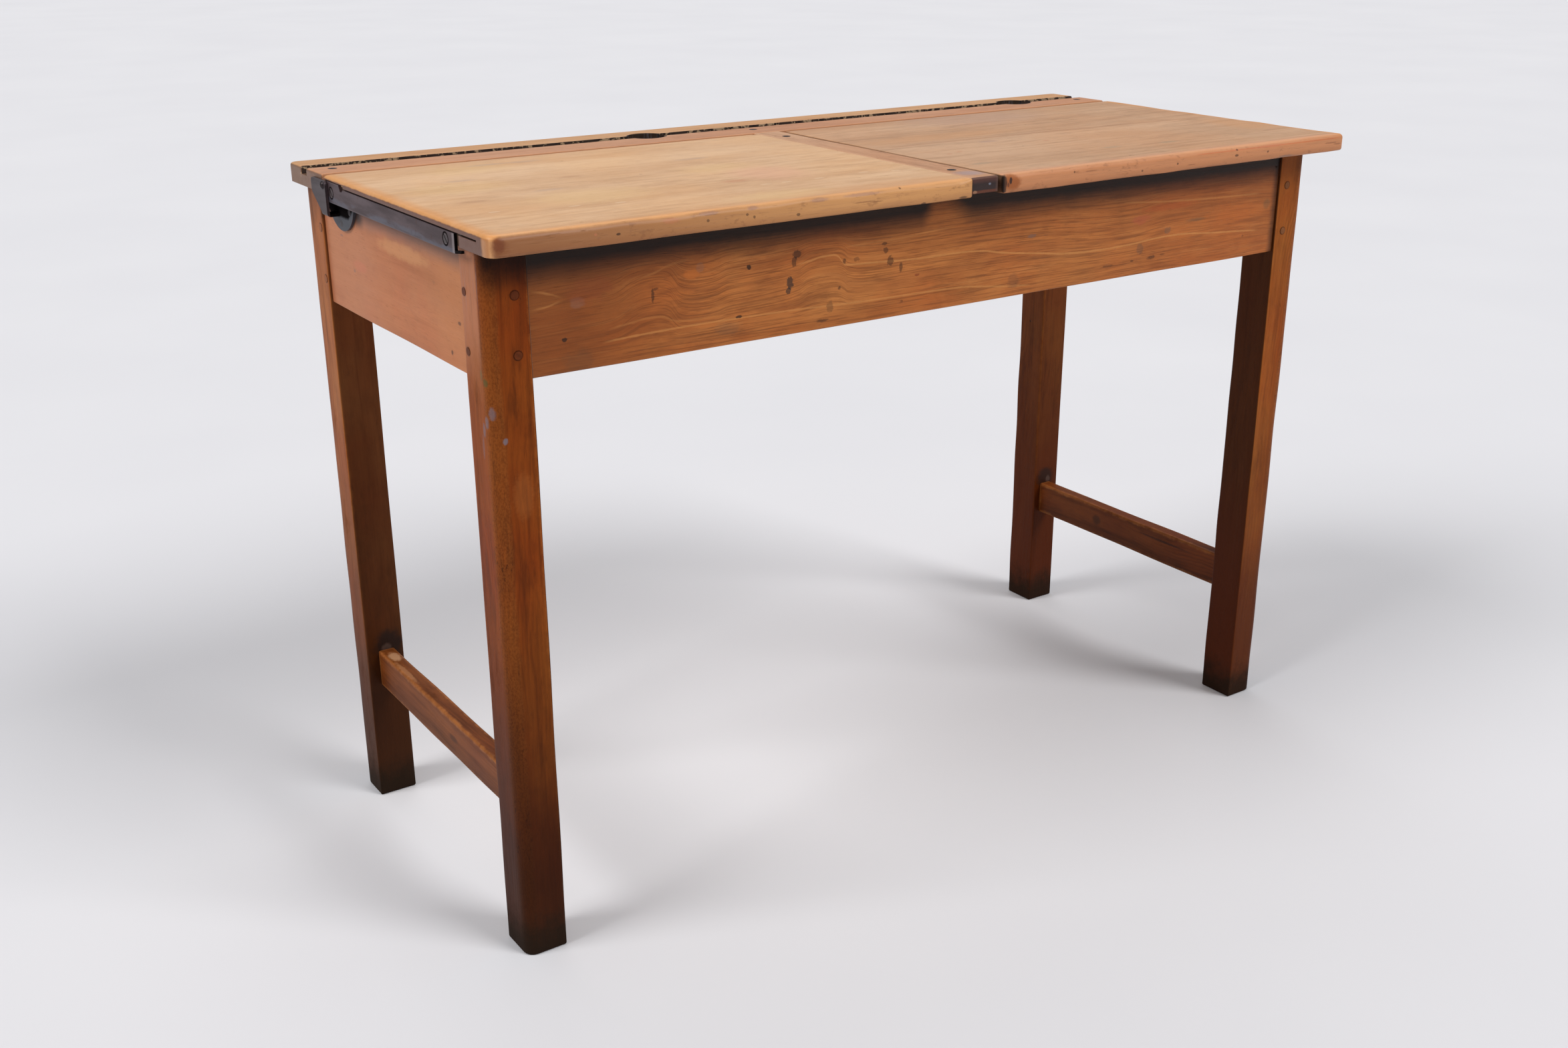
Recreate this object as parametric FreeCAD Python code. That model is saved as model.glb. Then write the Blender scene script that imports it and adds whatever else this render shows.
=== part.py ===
import FreeCAD, Part
import math
import os

from FreeCAD import Vector

# A double school desk for two pupils.
# Millimetres. X runs along the desk, Y from the pupils to the back, Z up.
# The origin is on the floor, under the middle of the top.

# Whole desk
desk_height = 760.0
frame_length = 1100.0
frame_depth = 454.0
front_overhang = 45.0
back_overhang = 16.0
end_overhang = 10.0
cut_overrun = 30.0

# Legs
leg_width = 45.0
leg_depth = 48.0
leg_corner_radius = 12.0
leg_arris = 1.5

# Aprons, side rails and their joints
rail_height = 125.0
rail_thickness = 20.0
rail_setback = 3.0
rail_arris = 1.0
tenon_thickness = 8.0
tenon_shoulder = 10.0
tenon_face_offset = 6.0
tenon_end_cover = 19.0
peg_radius = 4.0
peg_length = 26.0
peg_proud = 0.4
peg_fit = 0.1
peg_edge_apron = 14.0
peg_edge_rail = 8.0
peg_below_tenon_top = 34.0
peg_above_tenon_bottom = 15.0

# Side stretchers
stretcher_bottom = 146.0
stretcher_height = 45.0
stretcher_thickness = 20.0
stretcher_inset = 14.0
stretcher_arris = 2.5
stretcher_tenon_thickness = 10.0
stretcher_tenon_height = 30.0
stretcher_tenon_length = 20.0

# Fixed boards of the top
top_thickness = 20.0
rear_board_width = 103.0
rear_board_corner_radius = 9.0
rear_board_arris = 3.0
joint_arris = 1.0
pen_groove_width = 18.0
pen_groove_depth = 8.0
pen_groove_front_margin = 45.0
inkwell_hole_radius = 23.0
inkwell_from_lid_end = 118.0
inkwell_notch_clearance = 2.0
inkwell_notch_depth = 45.0
centre_strip_width = 36.0
centre_strip_shift = -4.0
centre_strip_arris = 1.5
centre_strip_setback = 3.0
centre_strip_undercut = 3.0

# Lids
lid_seat_gap = 0.3
lid_back_gap = 1.0
left_lid_gap = 1.0
right_lid_gap = 5.0
left_lid_corner_radius = 11.0
right_lid_corner_radius = 5.0
lid_inner_corner_radius = 5.0
lid_arris = 4.5

# Iron straps let into the outer ends of the lids
strap_thickness = 3.0
strap_front_margin = 75.0
strap_height = 18.0
strap_drop = 6.9
strap_eye_radius = 4.8
strap_tab_length = 38.0
strap_tab_gap = 13.0
strap_nick_length = 8.0
strap_nick_depth = 2.8
strap_nick_slope = 4.0
strap_toe_length = 14.0
strap_toe_rise = 2.0
strap_toe_height = 2.6
strap_end_gap = 10.0
strap_top_gap = 1.6
strap_tab_top_gap = 1.2
kerf_height = 1.8
kerf_length = 37.5

# Hinge brackets on the side rails
bracket_thickness = 3.0
bracket_strap_gap = 0.4
foot_radius = 40.0
foot_centre_from_pivot = 10.5
foot_centre_drop = 7.2
foot_top_drop = 11.0
web_drop = 32.5
web_front = 7.0
web_back = 9.5
ear_front = 7.0
ear_back = 34.0
ear_rise = 5.0
ear_shoulder_drop = 10.0
ear_corner_radius = 5.0
bend_outer_radius = 4.0
bend_inner_radius = 1.2

# Pivots
rivet_radius = 2.4
rivet_head_radius = 4.4
rivet_head_height = 2.6
rivet_tail_radius = 4.2
rivet_tail_height = 2.0
rivet_tail_gap = 0.3
tail_recess_clearance = 1.0
running_clearance = 0.08
fixed_clearance = 0.05
centre_pin_radius = 3.0
centre_pin_reach = 15.0
centre_pin_end_gap = 2.0

# Screws
screw_head_radius = 5.0
screw_shank_radius = 2.0
screw_length = 28.0
screw_slot_width = 1.2
screw_slot_depth = 1.2
screw_fit = 0.1
bracket_screw_head_radius = 3.6
bracket_screw_shank_radius = 1.6
bracket_screw_length = 16.0
bracket_screw_places = ((-35.0, -24.5), (-9.3, -40.0))
strap_screw_height = 3.4
strap_front_screw_margin = 19.5
strap_rear_screw_from_pivot = 15.0
rear_board_screw_margin = 29.0
centre_strip_rear_screw = 44.0

# Book compartments
divider_thickness = 18.0
divider_housing = 5.0
bearer_width = 12.0
bearer_height = 12.0
floor_thickness = 8.0
floor_clearance = 0.5
nail_radius = 1.3
nail_length = 22.0
nail_fit = 0.1
nail_place_shares = (0.12, 0.5, 0.88)

# Planes worked out from the sizes above
half_frame = frame_length / 2
half_top = half_frame + end_overhang
top_depth = front_overhang + frame_depth + back_overhang
top_front = -top_depth / 2
top_back = top_depth / 2
frame_front = top_front + front_overhang
frame_middle = frame_front + frame_depth / 2
seat_z = desk_height - top_thickness
rail_bottom = seat_z - rail_height
rear_board_front = top_back - rear_board_width
strip_left = centre_strip_shift - centre_strip_width / 2
strip_right = centre_strip_shift + centre_strip_width / 2
strip_front = top_front + centre_strip_setback
lid_bottom = seat_z + lid_seat_gap
lid_half_thickness = (desk_height - lid_bottom) / 2
lid_back = rear_board_front - lid_back_gap
pivot_y = lid_back - lid_half_thickness
pivot_z = lid_bottom + lid_half_thickness
groove_front = rear_board_front + pen_groove_front_margin
groove_middle = groove_front + pen_groove_width / 2
groove_floor = desk_height - pen_groove_depth
rail_outer = half_frame - rail_setback
rail_inner = rail_outer - rail_thickness
apron_front = frame_front + rail_setback
apron_inner = apron_front + rail_thickness
leg_inner_x = half_frame - leg_width
leg_inner_y = frame_front + leg_depth
tenon_bottom = rail_bottom + tenon_shoulder
tenon_top = seat_z - tenon_shoulder
peg_heights = (tenon_top - peg_below_tenon_top, tenon_bottom + peg_above_tenon_bottom)
strap_bottom = lid_bottom - strap_drop
strap_top = strap_bottom + strap_height
tab_top = pivot_z + strap_eye_radius
strap_front = top_front + strap_front_margin
strap_inner = half_top - strap_thickness
strap_screw_z = lid_bottom + strap_screw_height
ear_inner = half_top + bracket_strap_gap
ear_outer = ear_inner + bracket_thickness
foot_outer = rail_outer + bracket_thickness
divider_left = centre_strip_shift - divider_thickness / 2
divider_right = centre_strip_shift + divider_thickness / 2
floor_bottom = rail_bottom + bearer_height
floor_top = floor_bottom + floor_thickness

AXIS_X = Vector(1, 0, 0)
AXIS_Y = Vector(0, 1, 0)
AXIS_Z = Vector(0, 0, 1)
ORIGIN = Vector(0, 0, 0)


# Basic shapes
def block(x_range, y_range, z_range):
    """A box between two values on each axis."""
    low = Vector(min(x_range), min(y_range), min(z_range))
    high = Vector(max(x_range), max(y_range), max(z_range))
    size = high - low
    return Part.makeBox(size.x, size.y, size.z, low)


def rod(start, direction, length, radius):
    """A round bar from a point along a direction."""
    return Part.makeCylinder(radius, length, start, direction)


def plate_x(outline, x_range):
    """A flat plate square to X, from an outline of (y, z) corners."""
    low, high = min(x_range), max(x_range)
    corners = [Vector(low, y, z) for y, z in outline]
    face = Part.Face(Part.makePolygon(corners + corners[:1]))
    return face.extrude(Vector(high - low, 0, 0))


def union(pieces):
    """One solid out of pieces that touch or overlap."""
    return pieces[0].multiFuse(pieces[1:]).removeSplitter()


def rounded(shape, radius, wanted):
    """Rounds the edges for which the test holds, given their middle and direction."""
    chosen = []
    for edge in shape.Edges:
        middle = edge.valueAt((edge.FirstParameter + edge.LastParameter) / 2)
        if wanted(edge, middle):
            chosen.append(edge)
    return shape.makeFillet(radius, chosen)


def runs_along(edge, axis):
    """True for a straight edge that is parallel to an axis."""
    if not isinstance(edge.Curve, Part.Line):
        return False
    return abs(edge.Curve.Direction.dot(axis)) > 0.999


def same(a, b):
    """True where two lengths agree to a thousandth of the leg's arris."""
    return abs(a - b) < leg_arris / 1000


def mirrored_x(shape):
    """The same piece at the other end of the desk."""
    return shape.mirror(ORIGIN, AXIS_X)


def mirrored_y(shape):
    """The same piece at the back of the frame."""
    return shape.mirror(Vector(0, frame_middle, 0), AXIS_Y)


def four_corners(shape):
    """Copies of a front left piece for the four corners of the frame."""
    back = mirrored_y(shape)
    return {
        "front_left": shape,
        "front_right": mirrored_x(shape),
        "back_left": back,
        "back_right": mirrored_x(back),
    }


def screw(point, direction, head_radius, shank_radius, length, extra=0.0):
    """A countersunk wood screw whose flat head is level with the point."""
    sink = head_radius - shank_radius
    cone = Part.makeCone(head_radius + extra, shank_radius + extra, sink, point, direction)
    shank = rod(point, direction, length + extra, shank_radius + extra)
    return union([cone, shank])


def slotted(body, point, direction, slot_axis):
    """Cuts the screwdriver slot across a screw's head."""
    width_axis = direction.cross(slot_axis)
    reach = slot_axis * screw_head_radius * 2
    corner = point - reach / 2 - width_axis * (screw_slot_width / 2) - direction * screw_slot_depth
    edges = (reach, width_axis * screw_slot_width)
    face_corners = [corner, corner + edges[0], corner + edges[0] + edges[1], corner + edges[1]]
    face = Part.Face(Part.makePolygon(face_corners + face_corners[:1]))
    return body.cut(face.extrude(direction * screw_slot_depth * 2))


# Joints of the frame, written once for the tenon and for its mortise
def apron_tenon():
    """The tenon at the left end of the front apron."""
    y_low = apron_front + tenon_face_offset
    return block(
        (-half_frame + tenon_end_cover, -leg_inner_x),
        (y_low, y_low + tenon_thickness),
        (tenon_bottom, tenon_top),
    )


def rail_tenon():
    """The tenon at the front end of the left side rail."""
    x_low = -rail_outer + tenon_face_offset
    return block(
        (x_low, x_low + tenon_thickness),
        (frame_front + tenon_end_cover, leg_inner_y),
        (tenon_bottom, tenon_top),
    )


def stretcher_tenon():
    """The tenon at the front end of the left side stretcher."""
    middle_x = -half_frame + stretcher_inset + stretcher_thickness / 2
    middle_z = stretcher_bottom + stretcher_height / 2
    return block(
        (middle_x - stretcher_tenon_thickness / 2, middle_x + stretcher_tenon_thickness / 2),
        (leg_inner_y - stretcher_tenon_length, leg_inner_y),
        (middle_z - stretcher_tenon_height / 2, middle_z + stretcher_tenon_height / 2),
    )


def apron_pegs(extra=0.0):
    """The two pegs through the left end of the front apron."""
    x = -leg_inner_x - peg_edge_apron
    start = frame_front - peg_proud
    return [rod(Vector(x, start, z), AXIS_Y, peg_length + extra, peg_radius + extra) for z in peg_heights]


def rail_pegs(extra=0.0):
    """The two pegs through the front end of the left side rail."""
    y = leg_inner_y - peg_edge_rail
    start = -half_frame - peg_proud
    return [rod(Vector(start, y, z), AXIS_X, peg_length + extra, peg_radius + extra) for z in peg_heights]


# Frame
def leg():
    """The front left leg, with its mortises and peg holes."""
    body = block((-half_frame, -leg_inner_x), (frame_front, leg_inner_y), (0, seat_z))
    body = rounded(
        body,
        leg_corner_radius,
        lambda e, m: runs_along(e, AXIS_Z) and same(m.x, -half_frame) and same(m.y, frame_front),
    )
    body = rounded(
        body,
        leg_arris,
        lambda e, m: runs_along(e, AXIS_Z) and (same(m.x, -leg_inner_x) or same(m.y, leg_inner_y)),
    )
    cuts = [apron_tenon(), rail_tenon(), stretcher_tenon()]
    cuts += apron_pegs(peg_fit) + rail_pegs(peg_fit)
    return body.cut(cuts)


def front_apron():
    """The front apron with both tenons, pegged, and housed for the divider."""
    board = block((-leg_inner_x, leg_inner_x), (apron_front, apron_inner), (rail_bottom, seat_z))
    board = rounded(board, rail_arris, lambda e, m: runs_along(e, AXIS_X) and same(m.z, rail_bottom))
    board = union([board, apron_tenon(), mirrored_x(apron_tenon())])
    cuts = []
    for peg in apron_pegs(peg_fit):
        cuts += [peg, mirrored_x(peg)]
    cuts.append(
        block(
            (divider_left, divider_right),
            (apron_inner - divider_housing, apron_inner + divider_housing),
            (rail_bottom, seat_z),
        )
    )
    return board.cut(cuts)


def side_rail():
    """The left side rail with a tenon at each end."""
    board = block(
        (-rail_outer, -rail_inner),
        (leg_inner_y, 2 * frame_middle - leg_inner_y),
        (rail_bottom, seat_z),
    )
    board = rounded(board, rail_arris, lambda e, m: runs_along(e, AXIS_Y) and same(m.z, rail_bottom))
    board = union([board, rail_tenon(), mirrored_y(rail_tenon())])
    cuts = []
    for peg in rail_pegs(peg_fit):
        cuts += [peg, mirrored_y(peg)]
    return board.cut(cuts)


def side_stretcher():
    """The left side stretcher, set in from the legs' outer faces."""
    bar = block(
        (-half_frame + stretcher_inset, -half_frame + stretcher_inset + stretcher_thickness),
        (leg_inner_y, 2 * frame_middle - leg_inner_y),
        (stretcher_bottom, stretcher_bottom + stretcher_height),
    )
    bar = rounded(bar, stretcher_arris, lambda e, m: runs_along(e, AXIS_Y))
    return union([bar, stretcher_tenon(), mirrored_y(stretcher_tenon())])


# Fixed boards of the top
def rear_board():
    """The rear board with its pen groove and two inkwell holes."""
    board = block((-half_top, half_top), (rear_board_front, top_back), (seat_z, desk_height))
    board = rounded(
        board,
        rear_board_corner_radius,
        lambda e, m: runs_along(e, AXIS_Z) and same(m.y, top_back),
    )
    board = rounded(
        board,
        rear_board_arris,
        lambda e, m: m.y > rear_board_front + joint_arris and not runs_along(e, AXIS_Z) and not same(m.z, seat_z),
    )
    board = rounded(
        board,
        joint_arris,
        lambda e, m: runs_along(e, AXIS_X) and same(m.y, rear_board_front) and same(m.z, desk_height),
    )
    groove = block(
        (-half_top - cut_overrun, half_top + cut_overrun),
        (groove_front, groove_front + pen_groove_width),
        (groove_floor, desk_height + cut_overrun),
    )
    hole_start = seat_z - cut_overrun
    hole_length = top_thickness + 2 * cut_overrun
    holes = [
        rod(Vector(x, groove_middle, hole_start), AXIS_Z, hole_length, inkwell_hole_radius)
        for x in inkwell_places()
    ]
    return board.cut([groove] + holes + rear_board_screws(screw_fit, False))


def inkwell_places():
    """An inkwell stands near the right-hand end of each pupil's lid."""
    return (strip_left - inkwell_from_lid_end, half_top - inkwell_from_lid_end)


def inkwell_notches():
    """Room for the inkwells in the back apron's top edge."""
    start = seat_z - inkwell_notch_depth
    radius = inkwell_hole_radius + inkwell_notch_clearance
    return [
        rod(Vector(x, groove_middle, start), AXIS_Z, inkwell_notch_depth + cut_overrun, radius)
        for x in inkwell_places()
    ]


def centre_strip():
    """The strip between the lids, carrying the middle pivot pin. It is thinner in front of the apron."""
    strip = block((strip_left, strip_right), (strip_front, rear_board_front), (seat_z, desk_height))
    undercut = block(
        (strip_left - cut_overrun, strip_right + cut_overrun),
        (strip_front - cut_overrun, apron_front),
        (seat_z - cut_overrun, seat_z + centre_strip_undercut),
    )
    strip = rounded(
        strip.cut(undercut),
        centre_strip_arris,
        lambda e, m: (runs_along(e, AXIS_Y) and same(m.z, desk_height)) or same(m.y, strip_front),
    )
    bore = rod(
        Vector(strip_left - cut_overrun, pivot_y, pivot_z),
        AXIS_X,
        centre_strip_width + 2 * cut_overrun,
        centre_pin_radius + fixed_clearance,
    )
    return strip.cut([bore] + centre_strip_screws(screw_fit, False))


def rear_board_screws(extra=0.0, with_slot=True):
    """Screws down into both side rails and the divider."""
    side = (rail_outer + rail_inner) / 2
    y = rear_board_front + rear_board_screw_margin
    points = [Vector(x, y, desk_height) for x in (-side, centre_strip_shift, side)]
    return top_screws(points, extra, with_slot)


def centre_strip_screws(extra=0.0, with_slot=True):
    """Screws down into the front apron and the divider."""
    front = (apron_front + apron_inner) / 2
    rear = rear_board_front - centre_strip_rear_screw
    points = [Vector(centre_strip_shift, y, desk_height) for y in (front, rear)]
    return top_screws(points, extra, with_slot)


def top_screws(points, extra, with_slot):
    """Screws that hold the fixed boards, heads up."""
    down = Vector(0, 0, -1)
    length = top_thickness + screw_length / 2
    bodies = [screw(p, down, screw_head_radius, screw_shank_radius, length, extra) for p in points]
    if not with_slot:
        return bodies
    return [slotted(body, point, down, AXIS_X) for body, point in zip(bodies, points)]


# Lids, straps and hinge brackets, all drawn at the left end
def strap_outline():
    """Corners of the strap as (y, z), without the round eye. A nick parts it from the tab at the eye."""
    tab_front = pivot_y - strap_tab_length
    nick_front = tab_front - strap_nick_length
    nick_floor = strap_top - strap_nick_depth
    toe_front = strap_front - strap_toe_length
    return [
        (strap_front, strap_bottom),
        (toe_front, strap_bottom + strap_toe_rise),
        (toe_front, strap_bottom + strap_toe_rise + strap_toe_height),
        (strap_front, strap_bottom + strap_toe_height),
        (strap_front, strap_top),
        (nick_front - strap_nick_slope, strap_top),
        (nick_front, nick_floor),
        (tab_front - strap_nick_slope, nick_floor),
        (tab_front, tab_top),
        (pivot_y, tab_top),
        (pivot_y + strap_eye_radius, pivot_z),
        (pivot_y + strap_eye_radius, strap_bottom),
    ]


def strap():
    """The iron strap, with its eye, running hole and two screw holes."""
    span = (-half_top, -strap_inner)
    eye = rod(Vector(-half_top, pivot_y, pivot_z), AXIS_X, strap_thickness, strap_eye_radius)
    plate = union([plate_x(strap_outline(), span), eye])
    hole = rod(
        Vector(-half_top - cut_overrun, pivot_y, pivot_z),
        AXIS_X,
        strap_thickness + 2 * cut_overrun,
        rivet_radius + running_clearance,
    )
    return plate.cut([hole] + strap_screws(screw_fit, False))


def strap_screws(extra=0.0, with_slot=True):
    """Two slotted screws through the strap into the lid's end grain."""
    places = (strap_front + strap_front_screw_margin, pivot_y - strap_rear_screw_from_pivot)
    points = [Vector(-half_top, y, strap_screw_z) for y in places]
    bodies = [screw(p, AXIS_X, screw_head_radius, screw_shank_radius, screw_length, extra) for p in points]
    if not with_slot:
        return bodies
    slot_axis = Vector(0, 1, 1).normalize()
    return [slotted(body, point, AXIS_X, slot_axis) for body, point in zip(bodies, points)]


def lid(inner_gap, strip_side, corner_radius):
    """The left lid as seen from above, its inner end at the strip's given side."""
    inner = -(strip_side + inner_gap)
    length = half_top + inner
    slab = block((-half_top, inner), (top_front, lid_back + cut_overrun), (lid_bottom, desk_height))
    slab = rounded(
        slab,
        corner_radius,
        lambda e, m: runs_along(e, AXIS_Z) and same(m.y, top_front) and same(m.x, -half_top),
    )
    slab = rounded(
        slab,
        lid_inner_corner_radius,
        lambda e, m: runs_along(e, AXIS_Z) and same(m.y, top_front) and same(m.x, inner),
    )
    slab = rounded(
        slab,
        lid_arris,
        lambda e, m: m.y < lid_back and not runs_along(e, AXIS_Z) and not same(m.x, inner),
    )
    flat = block((-half_top, inner), (top_front, pivot_y), (lid_bottom, desk_height))
    nose = rod(Vector(-half_top, pivot_y, pivot_z), AXIS_X, length, lid_half_thickness)
    slab = slab.common(union([flat, nose]))
    rebate_x = (-half_top - cut_overrun, -strap_inner)
    rebate_top = strap_top + strap_top_gap
    cuts = [
        block(
            rebate_x,
            (strap_front - strap_end_gap, lid_back + cut_overrun),
            (lid_bottom - cut_overrun, rebate_top),
        ),
        block(
            rebate_x,
            (pivot_y - strap_tab_length - strap_tab_gap, lid_back + cut_overrun),
            (lid_bottom - cut_overrun, tab_top + strap_tab_top_gap),
        ),
        block(
            rebate_x,
            (strap_front - strap_end_gap - kerf_length, strap_front),
            (rebate_top - kerf_height, rebate_top),
        ),
        rod(
            Vector(-half_top - cut_overrun, pivot_y, pivot_z),
            AXIS_X,
            cut_overrun + strap_thickness + rivet_tail_gap + rivet_tail_height + tail_recess_clearance,
            rivet_tail_radius + tail_recess_clearance,
        ),
        rod(
            Vector(inner - centre_pin_reach - centre_pin_end_gap, pivot_y, pivot_z),
            AXIS_X,
            centre_pin_reach + centre_pin_end_gap + cut_overrun,
            centre_pin_radius + running_clearance,
        ),
    ]
    return slab.cut(cuts + strap_screws(screw_fit, False))


def centre_pin():
    """The pin through the centre strip that carries both lids' inner ends."""
    start = strip_left - left_lid_gap - centre_pin_reach
    end = strip_right + right_lid_gap + centre_pin_reach
    return rod(Vector(start, pivot_y, pivot_z), AXIS_X, end - start, centre_pin_radius)


def hinge_bracket():
    """The iron bracket: a foot on the side rail, a U bend and an ear outside the strap."""
    foot_y = pivot_y - foot_centre_from_pivot
    foot_z = pivot_z - foot_centre_drop
    foot_top = pivot_z - foot_top_drop
    web_bottom = pivot_z - web_drop
    web_top = web_bottom + bracket_thickness
    web_y = (pivot_y - web_front, pivot_y + web_back)
    foot_x = (-foot_outer, -rail_outer)
    disc = rod(Vector(-foot_outer, foot_y, foot_z), AXIS_X, bracket_thickness, foot_radius)
    lower_half = block(
        foot_x,
        (foot_y - foot_radius, foot_y + foot_radius),
        (foot_z - foot_radius, foot_top),
    )
    bend = block((-ear_outer, -rail_outer), web_y, (web_bottom, foot_top))
    bend = rounded(
        bend,
        bend_outer_radius,
        lambda e, m: runs_along(e, AXIS_Y) and same(m.z, web_bottom) and same(m.x, -ear_outer),
    )
    inside = block(
        (-ear_inner, -foot_outer),
        (web_y[0] - cut_overrun, web_y[1] + cut_overrun),
        (web_top, foot_top + cut_overrun),
    )
    inside = rounded(
        inside,
        bend_inner_radius,
        lambda e, m: runs_along(e, AXIS_Y) and same(m.z, web_top),
    )
    ear_outline = [
        (web_y[0], web_bottom + bend_outer_radius),
        (pivot_y - ear_front, pivot_z + ear_rise),
        (pivot_y + ear_back, pivot_z + ear_rise),
        (pivot_y + ear_back, pivot_z - ear_shoulder_drop),
        (web_y[1], web_bottom + bend_outer_radius),
    ]
    ear = plate_x(ear_outline, (-ear_outer, -ear_inner))
    ear = rounded(
        ear,
        ear_corner_radius,
        lambda e, m: runs_along(e, AXIS_X) and m.z > web_bottom + bend_outer_radius * 2,
    )
    body = union([disc.common(lower_half), bend.cut(inside), ear])
    hole = rod(
        Vector(-ear_outer - cut_overrun, pivot_y, pivot_z),
        AXIS_X,
        bracket_thickness + 2 * cut_overrun,
        rivet_radius + fixed_clearance,
    )
    return body.cut([hole] + bracket_screws(screw_fit))


def bracket_screws(extra=0.0):
    """Two small screws through the bracket's foot into the side rail."""
    bodies = []
    for from_pivot_y, from_pivot_z in bracket_screw_places:
        point = Vector(-foot_outer, pivot_y + from_pivot_y, pivot_z + from_pivot_z)
        bodies.append(
            screw(
                point,
                AXIS_X,
                bracket_screw_head_radius,
                bracket_screw_shank_radius,
                bracket_screw_length,
                extra,
            )
        )
    return bodies


def hinge_rivet():
    """The rivet fixed in the bracket's ear, on which the strap turns."""
    dome_radius = (rivet_head_radius ** 2 + rivet_head_height ** 2) / (2 * rivet_head_height)
    dome_centre = -ear_outer - rivet_head_height + dome_radius
    dome = Part.makeSphere(dome_radius, Vector(dome_centre, pivot_y, pivot_z))
    keep = block(
        (-ear_outer - rivet_head_height, -ear_outer),
        (pivot_y - dome_radius, pivot_y + dome_radius),
        (pivot_z - dome_radius, pivot_z + dome_radius),
    )
    tail_start = -strap_inner + rivet_tail_gap
    shank = rod(Vector(-ear_outer, pivot_y, pivot_z), AXIS_X, ear_outer + tail_start, rivet_radius)
    tail = rod(Vector(tail_start, pivot_y, pivot_z), AXIS_X, rivet_tail_height, rivet_tail_radius)
    return union([dome.common(keep), shank, tail])


# Book compartments
def divider():
    """The upright board between the compartments, housed in both aprons."""
    end = apron_inner - divider_housing
    board = block((divider_left, divider_right), (end, 2 * frame_middle - end), (rail_bottom, seat_z))
    cuts = rear_board_screws(screw_fit, False) + centre_strip_screws(screw_fit, False)
    return board.cut(cuts)


def floor_board(outer_x, divider_x):
    """A compartment's floor, notched round the two legs at its outer end."""
    side = math.copysign(1, outer_x)
    board = block(
        (outer_x - side * floor_clearance, divider_x + side * floor_clearance),
        (apron_inner + floor_clearance, 2 * frame_middle - apron_inner - floor_clearance),
        (floor_bottom, floor_top),
    )
    notch = block(
        (side * (leg_inner_x - floor_clearance), side * (half_frame + cut_overrun)),
        (frame_front - cut_overrun, leg_inner_y + floor_clearance),
        (floor_bottom - cut_overrun, floor_top + cut_overrun),
    )
    return board.cut([notch, mirrored_y(notch)])


def floor_bearer(outer_x, divider_x, extra=0.0):
    """A strip along the front apron that carries the floor's edge, and its nails."""
    strip = block((outer_x, divider_x), (apron_inner, apron_inner + bearer_width), (rail_bottom, floor_bottom))
    span = divider_x - outer_x
    start = Vector(0, apron_inner + bearer_width, (rail_bottom + floor_bottom) / 2)
    nails = []
    for share in nail_place_shares:
        point = start + Vector(outer_x + span * share, 0, 0)
        nails.append(rod(point, Vector(0, -1, 0), nail_length + extra, nail_radius + extra))
    return strip, nails


# Assembly
nodes = {}

for corner, shape in four_corners(leg()).items():
    nodes["leg_" + corner] = shape

bearer_nails = []
apron_nail_holes = []
bearer_spans = {"left": (-leg_inner_x, divider_left), "right": (leg_inner_x, divider_right)}
for end, (outer_x, divider_x) in bearer_spans.items():
    strip, nails = floor_bearer(outer_x, divider_x)
    holes = floor_bearer(outer_x, divider_x, nail_fit)[1]
    strip = strip.cut(holes)
    nodes["floor_bearer_front_" + end] = strip
    nodes["floor_bearer_back_" + end] = mirrored_y(strip)
    bearer_nails += nails + [mirrored_y(nail) for nail in nails]
    apron_nail_holes += holes

apron = front_apron().cut(apron_nail_holes)
nodes["front_apron"] = apron.cut(centre_strip_screws(screw_fit, False))
nodes["back_apron"] = mirrored_y(apron).cut(inkwell_notches())

rail = side_rail()
for end, place in (("left", rail), ("right", mirrored_x(rail))):
    foot_holes = bracket_screws(screw_fit)
    if end == "right":
        foot_holes = [mirrored_x(hole) for hole in foot_holes]
    nodes["side_rail_" + end] = place.cut(rear_board_screws(screw_fit, False) + foot_holes)

nodes["side_stretcher_left"] = side_stretcher()
nodes["side_stretcher_right"] = mirrored_x(side_stretcher())

front_pegs = apron_pegs()
end_pegs = rail_pegs()
nodes["apron_pegs"] = Part.makeCompound([c for peg in front_pegs for c in four_corners(peg).values()])
nodes["rail_pegs"] = Part.makeCompound([c for peg in end_pegs for c in four_corners(peg).values()])

nodes["rear_board"] = rear_board()
nodes["centre_strip"] = centre_strip()
nodes["rear_board_screws"] = Part.makeCompound(rear_board_screws())
nodes["centre_strip_screws"] = Part.makeCompound(centre_strip_screws())
nodes["centre_pivot_pin"] = centre_pin()

nodes["compartment_divider"] = divider()
nodes["floor_board_left"] = floor_board(-rail_inner, divider_left)
nodes["floor_board_right"] = floor_board(rail_inner, divider_right)
nodes["bearer_nails"] = Part.makeCompound(bearer_nails)

nodes["lid_left"] = lid(left_lid_gap, -strip_left, left_lid_corner_radius)
nodes["lid_right"] = mirrored_x(lid(right_lid_gap, strip_right, right_lid_corner_radius))

end_pieces = {
    "lid_strap": strap(),
    "strap_screws": Part.makeCompound(strap_screws()),
    "hinge_bracket": hinge_bracket(),
    "hinge_rivet": hinge_rivet(),
    "bracket_screws": Part.makeCompound(bracket_screws()),
}
for name, shape in end_pieces.items():
    nodes[name + "_left"] = shape
    nodes[name + "_right"] = mirrored_x(shape)

os.makedirs("parts", exist_ok=True)
for name, shape in nodes.items():
    shape.exportStep(os.path.join("parts", name + ".step"))
    print(name, len(shape.Solids), round(shape.Volume), shape.isValid())
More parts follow.
